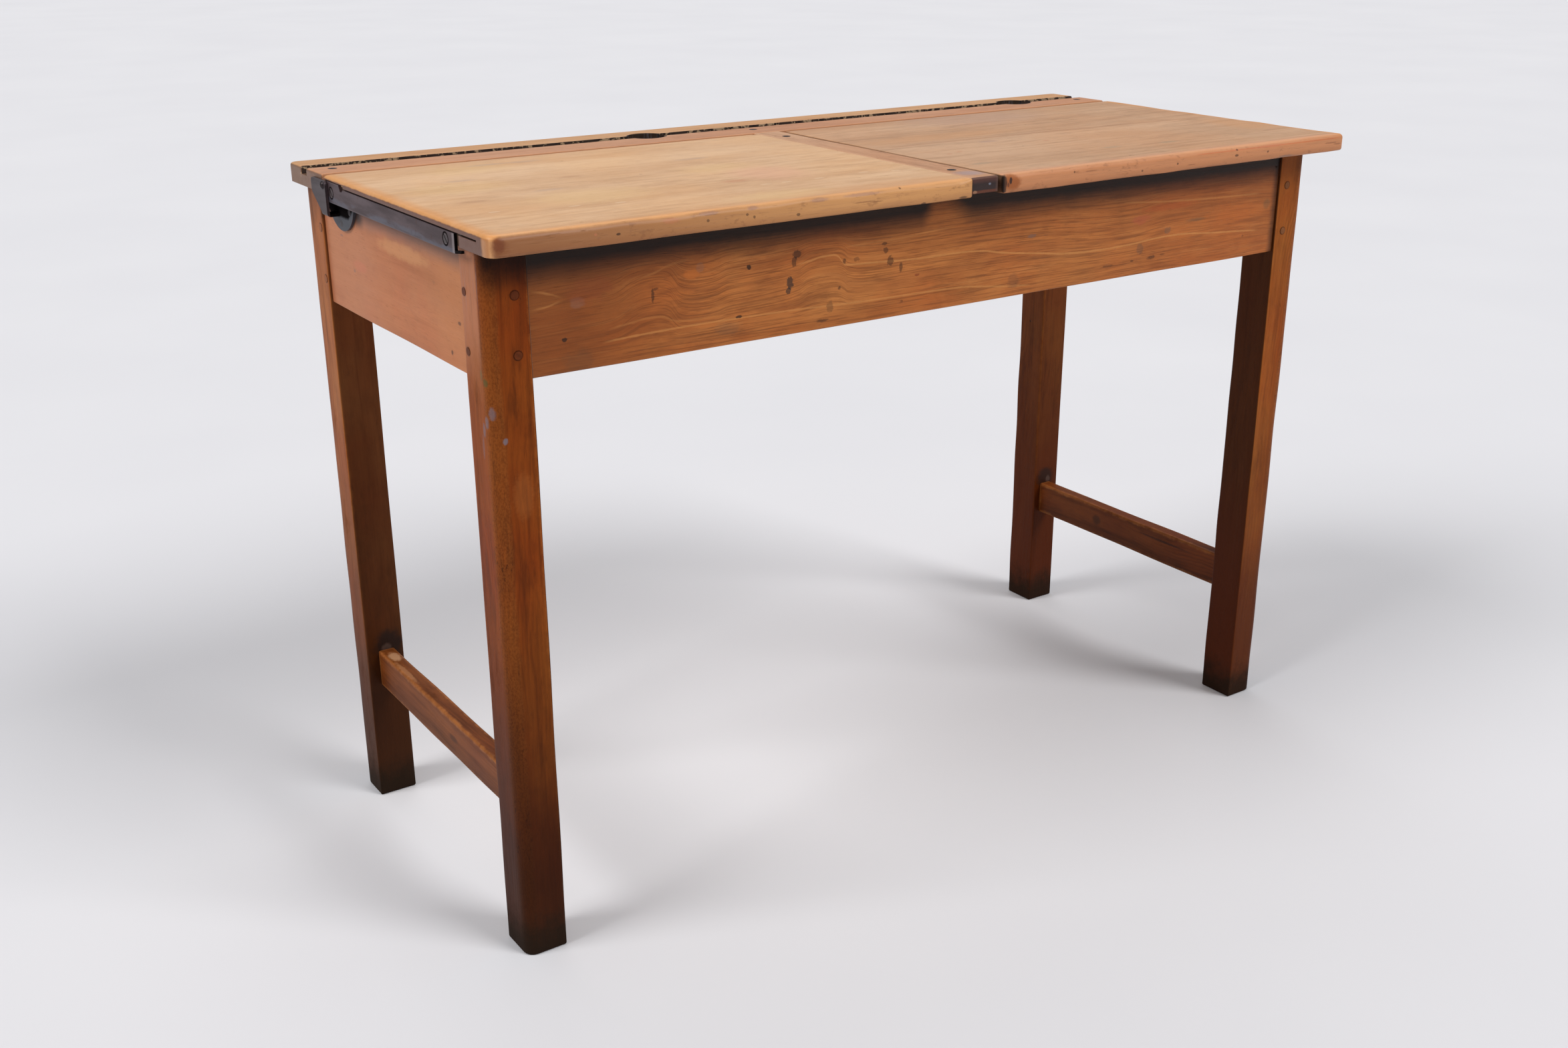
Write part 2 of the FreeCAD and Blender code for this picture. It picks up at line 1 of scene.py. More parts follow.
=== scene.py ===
# %% [markdown]
# # A double school desk
# The desk is a wooden box on four legs with two lids, and it has been used, sanded and waxed for many
# years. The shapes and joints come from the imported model. This lesson gives each piece its finish and
# the small uneven forms that use leaves behind, then sets a plain studio round it.
# Lengths are metres. X runs along the desk, Y away from the pupils, Z up, and the floor is at zero.

import bpy
import numpy as np
from mathutils import Matrix, Vector


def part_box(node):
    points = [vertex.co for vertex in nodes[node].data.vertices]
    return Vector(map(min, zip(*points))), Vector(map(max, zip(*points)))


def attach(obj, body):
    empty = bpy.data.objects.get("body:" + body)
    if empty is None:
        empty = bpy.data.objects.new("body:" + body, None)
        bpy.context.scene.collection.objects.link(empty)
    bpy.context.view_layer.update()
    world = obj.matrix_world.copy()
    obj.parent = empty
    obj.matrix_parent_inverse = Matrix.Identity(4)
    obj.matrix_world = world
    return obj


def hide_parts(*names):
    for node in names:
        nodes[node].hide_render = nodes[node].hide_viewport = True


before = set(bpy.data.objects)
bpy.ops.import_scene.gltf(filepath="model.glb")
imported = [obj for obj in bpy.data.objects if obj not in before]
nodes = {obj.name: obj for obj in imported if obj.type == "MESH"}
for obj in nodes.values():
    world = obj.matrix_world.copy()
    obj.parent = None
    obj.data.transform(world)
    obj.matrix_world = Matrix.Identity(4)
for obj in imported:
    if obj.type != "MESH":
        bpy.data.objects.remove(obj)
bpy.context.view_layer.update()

# %% [markdown]
# ## The camera
# The camera stands in front of the left end, a little above the top, as a person would look at the
# desk. Its place and its three axes were worked out from the desk's own edges, so they are written as
# numbers here. A matrix of the axes is safer than angles, because no order of turns has to be chosen.

# %% Camera
camera_place = Vector((-1.14709, -1.57582, 1.03832))
camera_right = Vector((0.82385891, -0.56679351, -0.00127141))
camera_up = Vector((0.20429496, 0.29485771, 0.93344657))
camera_back = Vector((-0.52869657, -0.76928801, 0.35871421))

camera = bpy.data.objects.new("camera", bpy.data.cameras.new("camera"))
bpy.context.scene.collection.objects.link(camera)
axes = Matrix((camera_right, camera_up, camera_back)).transposed()
camera.matrix_world = Matrix.Translation(camera_place) @ axes.to_4x4()
camera.data.sensor_width = 36.0
camera.data.lens = 38.4055
camera.data.shift_x = -0.00884
camera.data.shift_y = 0.00365
camera.data.clip_end = 300.0
bpy.context.scene.camera = camera
print("camera at", [round(c, 3) for c in camera_place])

# %% [markdown]
# ## Writing a finish
# A material is a small machine of nodes. Wiring it by hand takes a line for each wire, so `Finish`
# gives each kind of node one short call that returns its output. A finish then reads as a sum: a
# noise, stretched along the grain, mixed into a colour.

# %% A short way to write nodes
def tone(red, green, blue):
    """A colour given as 0 to 255, as a picture shows it, turned into linear light."""
    part = np.array([red, green, blue]) / 255.0
    linear = np.where(part <= 0.04045, part / 12.92, ((part + 0.055) / 1.055) ** 2.4)
    return (*linear.tolist(), 1.0)


class Finish:
    """One material. Each call adds a node and returns its output, ready to feed the next."""

    def __init__(self, name):
        self.material = bpy.data.materials.new(name)
        self.material.use_nodes = True
        self.tree = self.material.node_tree
        self.tree.nodes.clear()
        self.place = self.add("ShaderNodeTexCoord", "Object")
        self.frays = {}

    def add(self, kind, output, inputs=None, **settings):
        node = self.tree.nodes.new(kind)
        for key, value in settings.items():
            setattr(node, key, value)
        for key, value in (inputs or {}).items():
            if isinstance(value, bpy.types.NodeSocket):
                self.tree.links.new(value, node.inputs[key])
            else:
                node.inputs[key].default_value = value
        return node.outputs[output]

    def maths(self, operation, first, second=0.0, third=0.0):
        """One sum of numbers, such as MULTIPLY or MINIMUM."""
        return self.add("ShaderNodeMath", 0, {0: first, 1: second, 2: third}, operation=operation)

    def times(self, first, second):
        return self.maths("MULTIPLY", first, second)

    def plus(self, first, second):
        return self.maths("ADD", first, second)

    def vector(self, operation, first, second):
        """One sum of vectors."""
        return self.add("ShaderNodeVectorMath", 0, {0: first, 1: second}, operation=operation)

    def length(self, vector):
        """How long a vector is."""
        return self.add("ShaderNodeVectorMath", "Value", {0: vector}, operation="LENGTH")

    def parts(self, vector):
        """The three numbers of a vector."""
        node = self.tree.nodes.new("ShaderNodeSeparateXYZ")
        self.tree.links.new(vector, node.inputs[0])
        return node.outputs[0], node.outputs[1], node.outputs[2]

    def cloud(self, vector, scale, detail=2.0, rough=0.5, output="Fac"):
        """Noise. The scale may differ along the three axes, which draws the noise out into streaks."""
        if isinstance(scale, tuple):
            vector = self.vector("MULTIPLY", vector, scale)
            scale = 1.0
        inputs = {"Vector": vector, "Scale": scale, "Detail": detail, "Roughness": rough}
        return self.add("ShaderNodeTexNoise", output, inputs)

    def spots(self, vector, scale, output="Distance"):
        """Cells: the distance to the nearest of many scattered points, or a random colour for each."""
        vector = self.vector("MULTIPLY", vector, scale)
        return self.add("ShaderNodeTexVoronoi", output, {"Vector": vector, "Scale": 1.0})

    def ramp(self, value, low, high):
        """0 below low, 1 above high, and a smooth rise between them. Low above high turns it round."""
        ends = (1.0, 0.0) if low > high else (0.0, 1.0)
        inputs = {"Value": value, 1: min(low, high), 2: max(low, high), 3: ends[0], 4: ends[1]}
        return self.add("ShaderNodeMapRange", 0, inputs, interpolation_type="SMOOTHSTEP")

    def within(self, value, rise, fall):
        """1 between two ramps, such as the front and the back of a band."""
        return self.times(self.ramp(value, *rise), self.ramp(value, *fall))

    def mix(self, amount, first, second, way="MIX"):
        """Two colours laid over each other."""
        inputs = {0: amount, 6: first, 7: second}
        return self.add("ShaderNodeMix", 2, inputs, data_type="RGBA", blend_type=way)

    def lay(self, mask, strength, colour, new_tone):
        """Lays a tone over a colour where a mask is 1, at a strength from 0 to 1."""
        return self.mix(self.times(mask, strength), colour, new_tone)

    def bump(self, height, depth):
        """Turns a height from 0 to 1 into a relief that many metres deep."""
        return self.add("ShaderNodeBump", 0, {"Height": height, "Distance": depth, "Strength": 1.0})

    def skin(self, **inputs):
        """The surface itself. Names use the shader's own words, with _ for a space."""
        shader = self.tree.nodes.new("ShaderNodeBsdfPrincipled")
        for key, value in inputs.items():
            socket = shader.inputs[key.replace("_", " ")]
            if isinstance(value, bpy.types.NodeSocket):
                self.tree.links.new(value, socket)
            else:
                socket.default_value = value
        end = self.tree.nodes.new("ShaderNodeOutputMaterial")
        self.tree.links.new(shader.outputs[0], end.inputs[0])
        return self.material


print("finish helper ready")

# %% [markdown]
# ## Old wood
# A board is cut out of a tree, so its figure is the tree's growth rings seen from the side. That is
# drawn here as it grows: the distance from the tree's heart, bent by a slow noise, gives the rings, and
# the board's own place decides how they are cut. End grain then comes by itself. Over it lie long
# streaks, fine fibres, short dark pores, broad patches of tone, dents, scratches and paler worn
# arrises. A picture of wood would be quicker, but it would slide over the ends and repeat.

# %% The grain's direction and the nearest edge
grain_turns = {"x": (0, 0, 0), "y": (0, 0, -np.pi / 2), "z": (0, np.pi / 2, 0)}
grain_order = {"x": (0, 1, 2), "y": (1, 0, 2), "z": (2, 1, 0)}
relief_depth = 0.00022


def set_in_piece(finish, box, grain):
    """Object coordinates moved to the piece's middle and turned so that the grain runs along X."""
    low, high = (np.array(corner) for corner in box)
    middle = (low + high) / 2
    half = (high - low)[list(grain_order[grain])] / 2
    centred = finish.add("ShaderNodeMapping", 0, {"Vector": finish.place, "Location": tuple(-middle)})
    turned = finish.add("ShaderNodeMapping", 0, {"Vector": centred, "Rotation": grain_turns[grain]})
    return turned, half


def edge_distance(finish, local, half):
    """How far a point on a box's face is from that face's nearest edge."""
    away = finish.vector("SUBTRACT", tuple(half), finish.vector("ABSOLUTE", local, (0, 0, 0)))
    x, y, z = finish.parts(away)
    pairs = finish.plus(x, y), finish.plus(y, z), finish.plus(x, z)
    return finish.maths("MINIMUM", finish.maths("MINIMUM", pairs[0], pairs[1]), pairs[2])


print("grain and edges ready")


# %% Growth rings, dents and scratches
def growth_rings(f, p, local, bend, heart, rings):
    """1 in the dark late wood of each year's ring. A point's distance from the tree's heart, bent by
    noise, is counted in rings, and the last part of each ring is dark."""
    waver = f.cloud(p, (14.0, 40.0, 40.0), 3.0, output="Color")
    waver = f.vector("SUBTRACT", waver, (0.5, 0.5, 0.5))
    bent = f.vector("ADD", local, f.vector("MULTIPLY", bend, (0.0, 0.075, 0.075)))
    bent = f.vector("ADD", bent, f.vector("MULTIPLY", waver, (0.0, 0.008, 0.008)))
    along, across, deep = f.parts(bent)
    across = f.plus(across, -heart[0])
    deep = f.plus(f.plus(deep, -heart[1]), f.times(along, 0.045))
    radius = f.maths("SQRT", f.plus(f.times(across, across), f.times(deep, deep)))
    late = f.within(f.maths("FRACT", f.times(radius, rings)), (0.2, 0.85), (1.0, 0.9))
    return f.times(late, f.ramp(f.cloud(p, (3.5, 16.0, 16.0), 3.0, 0.6), 0.42, 0.72))


def dents_and_scratches(f, p):
    """Masks of small round dents, of which few cells get one, and of fine slanting scratches."""
    cell = (40.0, 46.0, 46.0)
    luck = f.parts(f.spots(p, cell, "Color"))[0]
    dent = f.times(f.ramp(f.spots(p, cell), 0.1, 0.03), f.ramp(luck, 0.87, 0.89))
    where = f.ramp(f.cloud(p, (9.0, 12.0, 12.0), 1.0), 0.56, 0.66)
    slanted = f.add("ShaderNodeMapping", 0, {"Vector": p, "Rotation": (0.4, 0.25, 0.33)})
    return dent, f.times(f.ramp(f.cloud(slanted, (6.0, 420.0, 420.0), 1.0), 0.74, 0.78), where)


print("rings, dents and scratches ready")


# %% Old wood
def old_wood(name, box, grain, pale, mid, dark, heart=(0.01, -0.09), rings=160.0, figure=0.3,
             streaks=0.4, smudges=0.4, smudge_tone=None, wear=0.4, wear_tone=None, wear_width=0.005,
             dirt=0.4, seed=0.0, rough=0.46, gloss_level=0.3, extra=None):
    """Wood for one piece. heart is the tree's middle seen from the piece's middle, rings how many there
    are to a metre. figure, streaks and smudges are how strongly each shows, wear how much the arrises
    are rubbed, and dirt how much has settled in dents and scratches. extra may add the piece's own
    marks: it takes the colour and the roughness and gives both back."""
    f = Finish(name)
    local, half = set_in_piece(f, box, grain)
    p = f.vector("ADD", local, (seed * 1.37, seed * 0.61, seed * 0.83))
    bend = f.vector("SUBTRACT", f.cloud(p, (2.6, 7.0, 7.0), 2.0, output="Color"), (0.5, 0.5, 0.5))
    late = growth_rings(f, p, local, bend, heart, rings)

    # noises drawn out along the grain, from broad bands to single pores
    swayed = f.vector("ADD", p, f.vector("MULTIPLY", bend, (0.0, 0.03, 0.03)))
    streak = f.cloud(swayed, (5.0, 110.0, 110.0), 4.0, 0.6)
    band = f.cloud(swayed, (2.2, 17.0, 17.0), 3.0, 0.6)
    smudge = f.cloud(swayed, (16.0, 95.0, 95.0), 4.0, 0.62)
    where = f.cloud(p, (3.0, 7.5, 7.5), 3.0, 0.6)
    fibre = f.cloud(p, (22.0, 900.0, 900.0), 2.0, 0.6)
    pore = f.ramp(f.cloud(p, (60.0, 1500.0, 1500.0), 1.0), 0.67, 0.75)
    patch = f.cloud(p, 5.0, 4.0, 0.62)
    mottle = f.cloud(p, (30.0, 60.0, 60.0), 5.0, 0.7)

    # the wood's own colour
    colour = f.mix(f.ramp(band, 0.32, 0.68), pale, mid)
    colour = f.lay(f.ramp(streak, 0.5, 0.74), streaks, colour, dark)
    colour = f.lay(late, figure, colour, dark)
    colour = f.lay(f.ramp(mottle, 0.45, 0.75), 0.25, colour, dark)
    colour = f.mix(f.times(f.ramp(patch, 0.36, 0.68), 0.35), colour, pale, "SOFT_LIGHT")
    marked = f.times(f.ramp(smudge, 0.47, 0.66), f.ramp(where, 0.4, 0.62))
    colour = f.lay(marked, smudges, colour, smudge_tone or dark)
    colour = f.lay(f.ramp(fibre, 0.62, 0.36), 0.12, colour, dark)
    colour = f.lay(pore, 0.3, colour, dark)

    # rubbed arrises, then dirt in what is low
    edge = edge_distance(f, local, half)
    frayed = f.plus(edge, f.times(f.plus(f.cloud(p, 70.0, 4.0, 0.7), -0.5), wear_width * 2.2))
    worn = f.times(f.ramp(frayed, wear_width, 0.0), wear)
    colour = f.mix(worn, colour, wear_tone or pale)
    dent, scratch = dents_and_scratches(f, p)
    grime = f.times(f.ramp(f.cloud(p, (9.0, 20.0, 20.0), 5.0, 0.72), 0.55, 0.75), dirt)
    # dirt here; the pieces' own marks also lay this tone as painted shade
    dirt_and_shade_tone = tuple(c * 0.3 for c in dark[:3]) + (1.0,)
    colour = f.lay(grime, 0.4, colour, dirt_and_shade_tone)
    colour = f.lay(dent, dirt + 0.15, colour, dirt_and_shade_tone)
    colour = f.lay(scratch, dirt * 0.7, colour, dirt_and_shade_tone)

    # roughness and relief
    gloss = f.plus(f.times(f.plus(streak, -0.5), 0.16), f.times(grime, 0.22))
    gloss = f.plus(f.plus(gloss, rough), f.times(f.plus(patch, -0.5), -0.12))
    height = f.plus(f.times(fibre, 0.35), f.times(pore, -0.7))
    height = f.plus(f.plus(height, f.times(late, 0.4)), f.times(dent, -2.5))
    height = f.plus(height, f.times(scratch, -0.8))
    if extra:
        colour, gloss = extra(f, colour, gloss, dirt_and_shade_tone)
    normal = f.bump(height, relief_depth)
    return f.skin(Base_Color=colour, Roughness=gloss, Normal=normal, Specular_IOR_Level=gloss_level)


def finish_node(name, material):
    """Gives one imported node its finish."""
    node = nodes[name]
    for place in range(max(1, len(node.material_slots))):
        if not node.material_slots:
            node.data.materials.append(material)
        node.material_slots[place].material = material


print("wood finish ready")

# %% [markdown]
# ## The stains that have a place
# Some marks belong to one spot: hands leave grease on a front edge, ink and dust gather in the pen
# groove, and mopped floors blacken the feet. Each is a soft box of positions, frayed by noise so that
# its border isn't ruled, and it is laid over the wood's own colour.

# %% Marks with a place
def fray(f, size):
    """Noise about as fine as a mark of that size. Marks of like size share it."""
    scale = 300.0 if size < 0.005 else 90.0 if size < 0.015 else 30.0
    if scale not in f.frays:
        f.frays[scale] = f.plus(f.cloud(f.place, scale, 4.0, 0.7), -0.5)
    return f.frays[scale]


def rag(f, size, amount):
    """A small uneven push, so that a mark's border isn't ruled."""
    return f.times(fray(f, size), amount * 2)


def torn(f, value, size, amount, low, high):
    """A ramp whose border is uneven by that amount."""
    return f.ramp(f.plus(value, rag(f, size, amount)), low, high)


def spot(f, centre, size, soft=0.35, ragged=0.5):
    """1 within an oval of that size about a centre, frayed, fading over a share of it. A size of None
    lets the mark run through in that direction."""
    scale = tuple(0.0 if s is None else 1.0 / s for s in size)
    away = f.vector("MULTIPLY", f.vector("SUBTRACT", f.place, centre), scale)
    distance = f.plus(f.length(away), rag(f, min(s for s in size if s), ragged))
    return f.ramp(distance, 1.0 + soft, 1.0 - soft)


def stain(f, colour, centre, size, strength, stain_tone, soft=0.35, ragged=0.5):
    """Lays one spot of a tone over a colour."""
    return f.lay(spot(f, centre, size, soft, ragged), strength, colour, stain_tone)


def stains(f, colour, table):
    """Lays many spots, one after the other. Each row is a centre, a size, a strength and a tone."""
    for centre, size, strength, spot_tone in table:
        colour = stain(f, colour, centre, size, strength, spot_tone)
    return colour


def curve_height(f, along, points):
    """The height of a smooth curve through given points."""
    points = np.array(points)
    first, size = points.min(0), np.maximum(np.ptp(points, axis=0), 1e-5)
    node = f.tree.nodes.new("ShaderNodeFloatCurve")
    curve = node.mapping.curves[0]
    shares = ((points - first) / size).tolist()
    curve.points[0].location, curve.points[1].location = shares[0], shares[-1]
    for share in shares[1:-1]:
        curve.points.new(*share)
    node.mapping.update()
    f.tree.links.new(f.times(f.plus(along, -first[0]), 1 / size[0]), node.inputs["Value"])
    return f.plus(f.times(node.outputs[0], size[1]), first[1])


def drawn_line(f, along, across, points, width, fade=0.02):
    """1 on a curve through the points, thinning out at both ends."""
    away = f.maths("ABSOLUTE", f.plus(across, f.times(curve_height(f, along, points), -1.0)))
    away = f.plus(away, rag(f, 0.01, width * 0.5))
    shown = f.within(along, (points[0][0], points[0][0] + fade), (points[-1][0], points[-1][0] - fade))
    return f.times(f.ramp(away, width, width * 0.25), shown)


# dark tones for real grime, which also serve as painted shade in gaps, recesses and under the overhang
black_grime_and_shade = tone(26, 18, 18)
brown_grime_and_shade = tone(52, 30, 16)
print("marks ready")

# %% [markdown]
# ## Forms that hands have worn
# A new board has straight edges. These have been leant on, kicked and sanded by hand, so an arris grows
# and shrinks along its length and no face is quite flat. A bevel modifier would round every edge by the
# same amount. So each worn board is worked out as a grid of points instead: a rectangle with rounded
# corners is carried along the board, and its size and its corners change a little on the way.

# %% Grids into pieces
import bmesh

millimetre = 0.001


def ripple(points, length, amount, seed):
    """Gentle unevenness. Six waves of about that length, each with its own direction and start, are
    added up, and their sum stays within amount."""
    rng = np.random.default_rng(seed)
    ways = rng.normal(size=(6, 3))
    lengths = length * rng.uniform(0.6, 1.6, (6, 1))
    ways *= 2 * np.pi / (lengths * np.linalg.norm(ways, axis=1, keepdims=True))
    starts = rng.uniform(0, 2 * np.pi, 6)
    return amount * np.sin(points @ ways.T + starts).sum(-1) / 6


def piece_from_grid(name, grid, body, *replaced):
    """A closed mesh from a grid of points. Each row closes on itself, each is joined to the next by
    four-sided faces, and one face fills the first row and one the last."""
    rows, columns, _ = grid.shape
    index = np.arange(rows * columns).reshape(rows, columns)
    near, far = index[:-1], index[1:]
    quads = np.stack([near, np.roll(near, -1, 1), np.roll(far, -1, 1), far], -1).reshape(-1, 4)
    mesh = bpy.data.meshes.new(name)
    mesh.from_pydata(grid.reshape(-1, 3).tolist(), [], quads.tolist() + index[[0, -1]].tolist())
    build = bmesh.new()
    build.from_mesh(mesh)
    bmesh.ops.remove_doubles(build, verts=build.verts, dist=0.002 * millimetre)
    bmesh.ops.recalc_face_normals(build, faces=build.faces)
    build.to_mesh(mesh)
    build.free()
    mesh.shade_smooth()
    mesh.set_sharp_from_angle(angle=np.radians(38))
    piece = bpy.data.objects.new(name, mesh)
    bpy.context.scene.collection.objects.link(piece)
    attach(piece, body)
    if replaced:
        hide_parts(*replaced)
    return piece


print("grids ready")

# %% [markdown]
# ## Rings with rounded corners
# A ring is one closed row of points, the outline of a board sawn across. Every ring of a piece has the
# same plan, the same number of points on each corner and each side, so that the rings join into faces
# without a twist. Only the sizes differ: a small inset near an end rounds that end over.

# %% Rings with rounded corners
corner_signs = np.array([(1, 1), (-1, 1), (-1, -1), (1, -1)])
arc_steps = 7
step_gap = 0.1 * millimetre


def ring_plan(side_shares):
    """For each column of a ring: its corner, its angle on the corner's arc, and its share of the way
    along the straight side that follows."""
    corner, angle, share = [], [], []
    for number, side in enumerate(side_shares):
        arc = np.linspace(number, number + 1, arc_steps) * np.pi / 2
        corner += [number] * (len(arc) + len(side))
        angle += [*arc, *([arc[-1]] * len(side))]
        share += [*([0.0] * len(arc)), *side]
    return np.array(corner), np.array(angle), np.array(share)


def ring(half_a, half_b, radii, plan, inset=0.0):
    """Points round a rectangle with rounded corners, drawn in by inset. An arc's middle stands its
    radius in from both sides, and a straight side runs from one arc's end to the next one's start."""
    corner, angle, share = plan
    following = (corner + 1) % 4

    def on_arc(which, turn):
        radius = np.clip(radii[..., which] - inset, 0.05 * millimetre, None)
        signs = corner_signs[which]
        return (signs[:, 0] * (half_a - inset - radius) + radius * np.cos(turn),
                signs[:, 1] * (half_b - inset - radius) + radius * np.sin(turn))

    start_a, start_b = on_arc(corner, angle)
    end_a, end_b = on_arc(following, following * np.pi / 2)
    return start_a + share * (end_a - start_a), start_b + share * (end_b - start_b)


def even_shares(length, step):
    """Shares that cut a length into steps of about the same size, without its two ends."""
    return np.linspace(0, 1, max(2, round(length / step)) + 1)[1:-1]


def worn_bar(name, low, high, grain, radii, ends, body, replaced, seed, uneven=0.15, step=8.0,
             foot=None):
    """A bar along its grain. radii are its four long arrises and ends the rounding of its two ends, in
    millimetres. foot may change the lower face from row to row."""
    order = list(grain_order[grain])
    low, high = np.array(low)[order], np.array(high)[order]
    turn = np.linspace(0, np.pi / 2, 6)
    start, end = (r * millimetre for r in ends)
    middle = np.arange(low[0] + start, high[0] - end, step * millimetre)[1:]
    along = np.concatenate([low[0] + start * (1 - np.cos(turn)), middle,
                            high[0] - end * (1 - np.cos(turn[::-1]))])
    inset = np.concatenate([start * (1 - np.sin(turn)), 0 * middle, end * (1 - np.sin(turn[::-1]))])
    if foot:
        place = np.searchsorted(along, foot[0])
        along = np.insert(along, place, [foot[0] - step_gap, foot[0] + step_gap])
        inset = np.insert(inset, place, [0, 0])
    bottom, top = np.full(len(along), low[2]), np.full(len(along), high[2])
    if foot:
        bottom = np.where(along < foot[0], foot[1], bottom)
    line = np.stack([along, 0 * along, 0 * along], -1)
    half_a = (high[1] - low[1]) / 2 + ripple(line, 0.21, uneven * millimetre, seed)
    half_b = (top - bottom) / 2 + ripple(line, 0.17, uneven * millimetre, seed + 1)
    worn = [ripple(line, 0.12, 1.0, seed + 2 + k) for k in range(4)]
    corner_radii = np.array(radii) + np.stack(worn, -1) * np.minimum(np.array(radii), 1.6)
    corner_radii = np.clip(corner_radii, 0.3, None) * millimetre
    sides = (high[1] - low[1], high[2] - low[2]) * 2
    plan = ring_plan([even_shares(side, step * millimetre) for side in sides])
    a, b = ring(half_a[:, None], half_b[:, None], corner_radii, plan, inset[:, None])
    grid = np.empty((*a.shape, 3))
    grid[..., order[0]] = along[:, None]
    grid[..., order[1]] = a + (low[1] + high[1]) / 2
    grid[..., order[2]] = b + ((bottom + top) / 2)[:, None]
    return piece_from_grid(name, grid, body, *replaced)


def dress(piece, material):
    """Gives a new piece its finish."""
    piece.data.materials.append(material)
    return piece


print("bars ready")

# %% [markdown]
# ## The lids' shape
# A lid is a thin board whose rim changes all the way round: a broad hand-worn nose in front, a small
# arris beside the fixed strip, a half round at the back that lets the lid turn, and a step at the outer
# end where the iron is let in. So it is worked out the other way: rings go round the lid seen from
# above, from its underside out to the rim, up the rim, and in again over the top.

# %% The plan and the arrises of a lid
strap_depth = 3.0 * millimetre
tiny = 0.02 * millimetre
pocket_start, kerf_start, tab_start, open_start = -0.1925, -0.2300, 0.09265, 0.15146
middle_row, kerf_floor, pocket_top, tab_pocket_top = 0.7465, 0.7512, 0.7530, 0.75615


def lid_plan(low, high, outer):
    """The plan of a lid's rings and its four corner radii. The side at the iron has two points close
    together wherever the iron's pocket begins or changes its height."""
    outer_corner, back_corner = (12.5 if outer < 0 else 5.5) * millimetre, 0.8 * millimetre
    inner_corner = 2.0 * millimetre
    run_start, run_end = high[1] - back_corner, low[1] + outer_corner
    steps = [np.array([place - step_gap, place + step_gap])
             for place in (pocket_start, kerf_start, tab_start, open_start)]
    stations = np.concatenate([np.linspace(run_start, run_end, 60)[1:-1], *steps])
    end_shares = np.sort((run_start - stations) / (run_start - run_end))
    half = (high - low) / 2
    long_side = even_shares(2 * half[0], 6 * millimetre)
    short_side = even_shares(2 * half[1], 8 * millimetre)
    outer_side = end_shares if outer < 0 else np.sort(1 - end_shares)
    sides = [long_side, outer_side if outer < 0 else short_side,
             long_side, short_side if outer < 0 else outer_side]
    front_radii = (outer_corner, inner_corner) if outer < 0 else (inner_corner, outer_corner)
    return ring_plan(sides), np.array([[back_corner, back_corner, *front_radii]])


def lid_arrises(rim, low, high, outer, seed):
    """The radii of the top and the bottom arris all round the rim, and a share that is 1 at the outer
    end. The front is the broadest, the arris beside the strip small, and both waver a little."""
    middle, half = (low + high) / 2, (high - low) / 2
    rim_x, rim_y = rim[..., 0], rim[..., 1]
    from_strip = -outer * (rim_x - middle[0]) - half[0]
    at_front = np.clip((low[1] + 0.012 - rim_y) / 0.012, 0, 1)
    at_outer = np.clip((outer * (rim_x - middle[0]) - half[0] + 0.008) / 0.008, 0, 1)
    at_inner = np.clip((from_strip + 0.004) / 0.004, 0, 1) * (1 - at_front)
    before_tab = np.clip((0.08 - rim_y) / 0.03, 0, 1)
    iron_end = 1.4 + (0.6 if outer < 0 else 4.2) * before_tab
    near_strip = np.clip((from_strip + 0.014) / 0.014, 0, 1)
    top = 2.2 + (4.4 - 4.8 * near_strip) * at_front
    top = top + iron_end * at_outer * (1 - at_front) - 1.2 * at_inner
    top = np.minimum(top * (1 + ripple(rim, 0.07, 0.5, seed)), 4.5 + 3.5 * before_tab)
    bottom = (0.8 + 1.9 * at_front) * (1 + ripple(rim, 0.05, 0.8, seed + 1))
    return top * millimetre, bottom * millimetre, at_outer


print("a lid's plan and arrises ready")


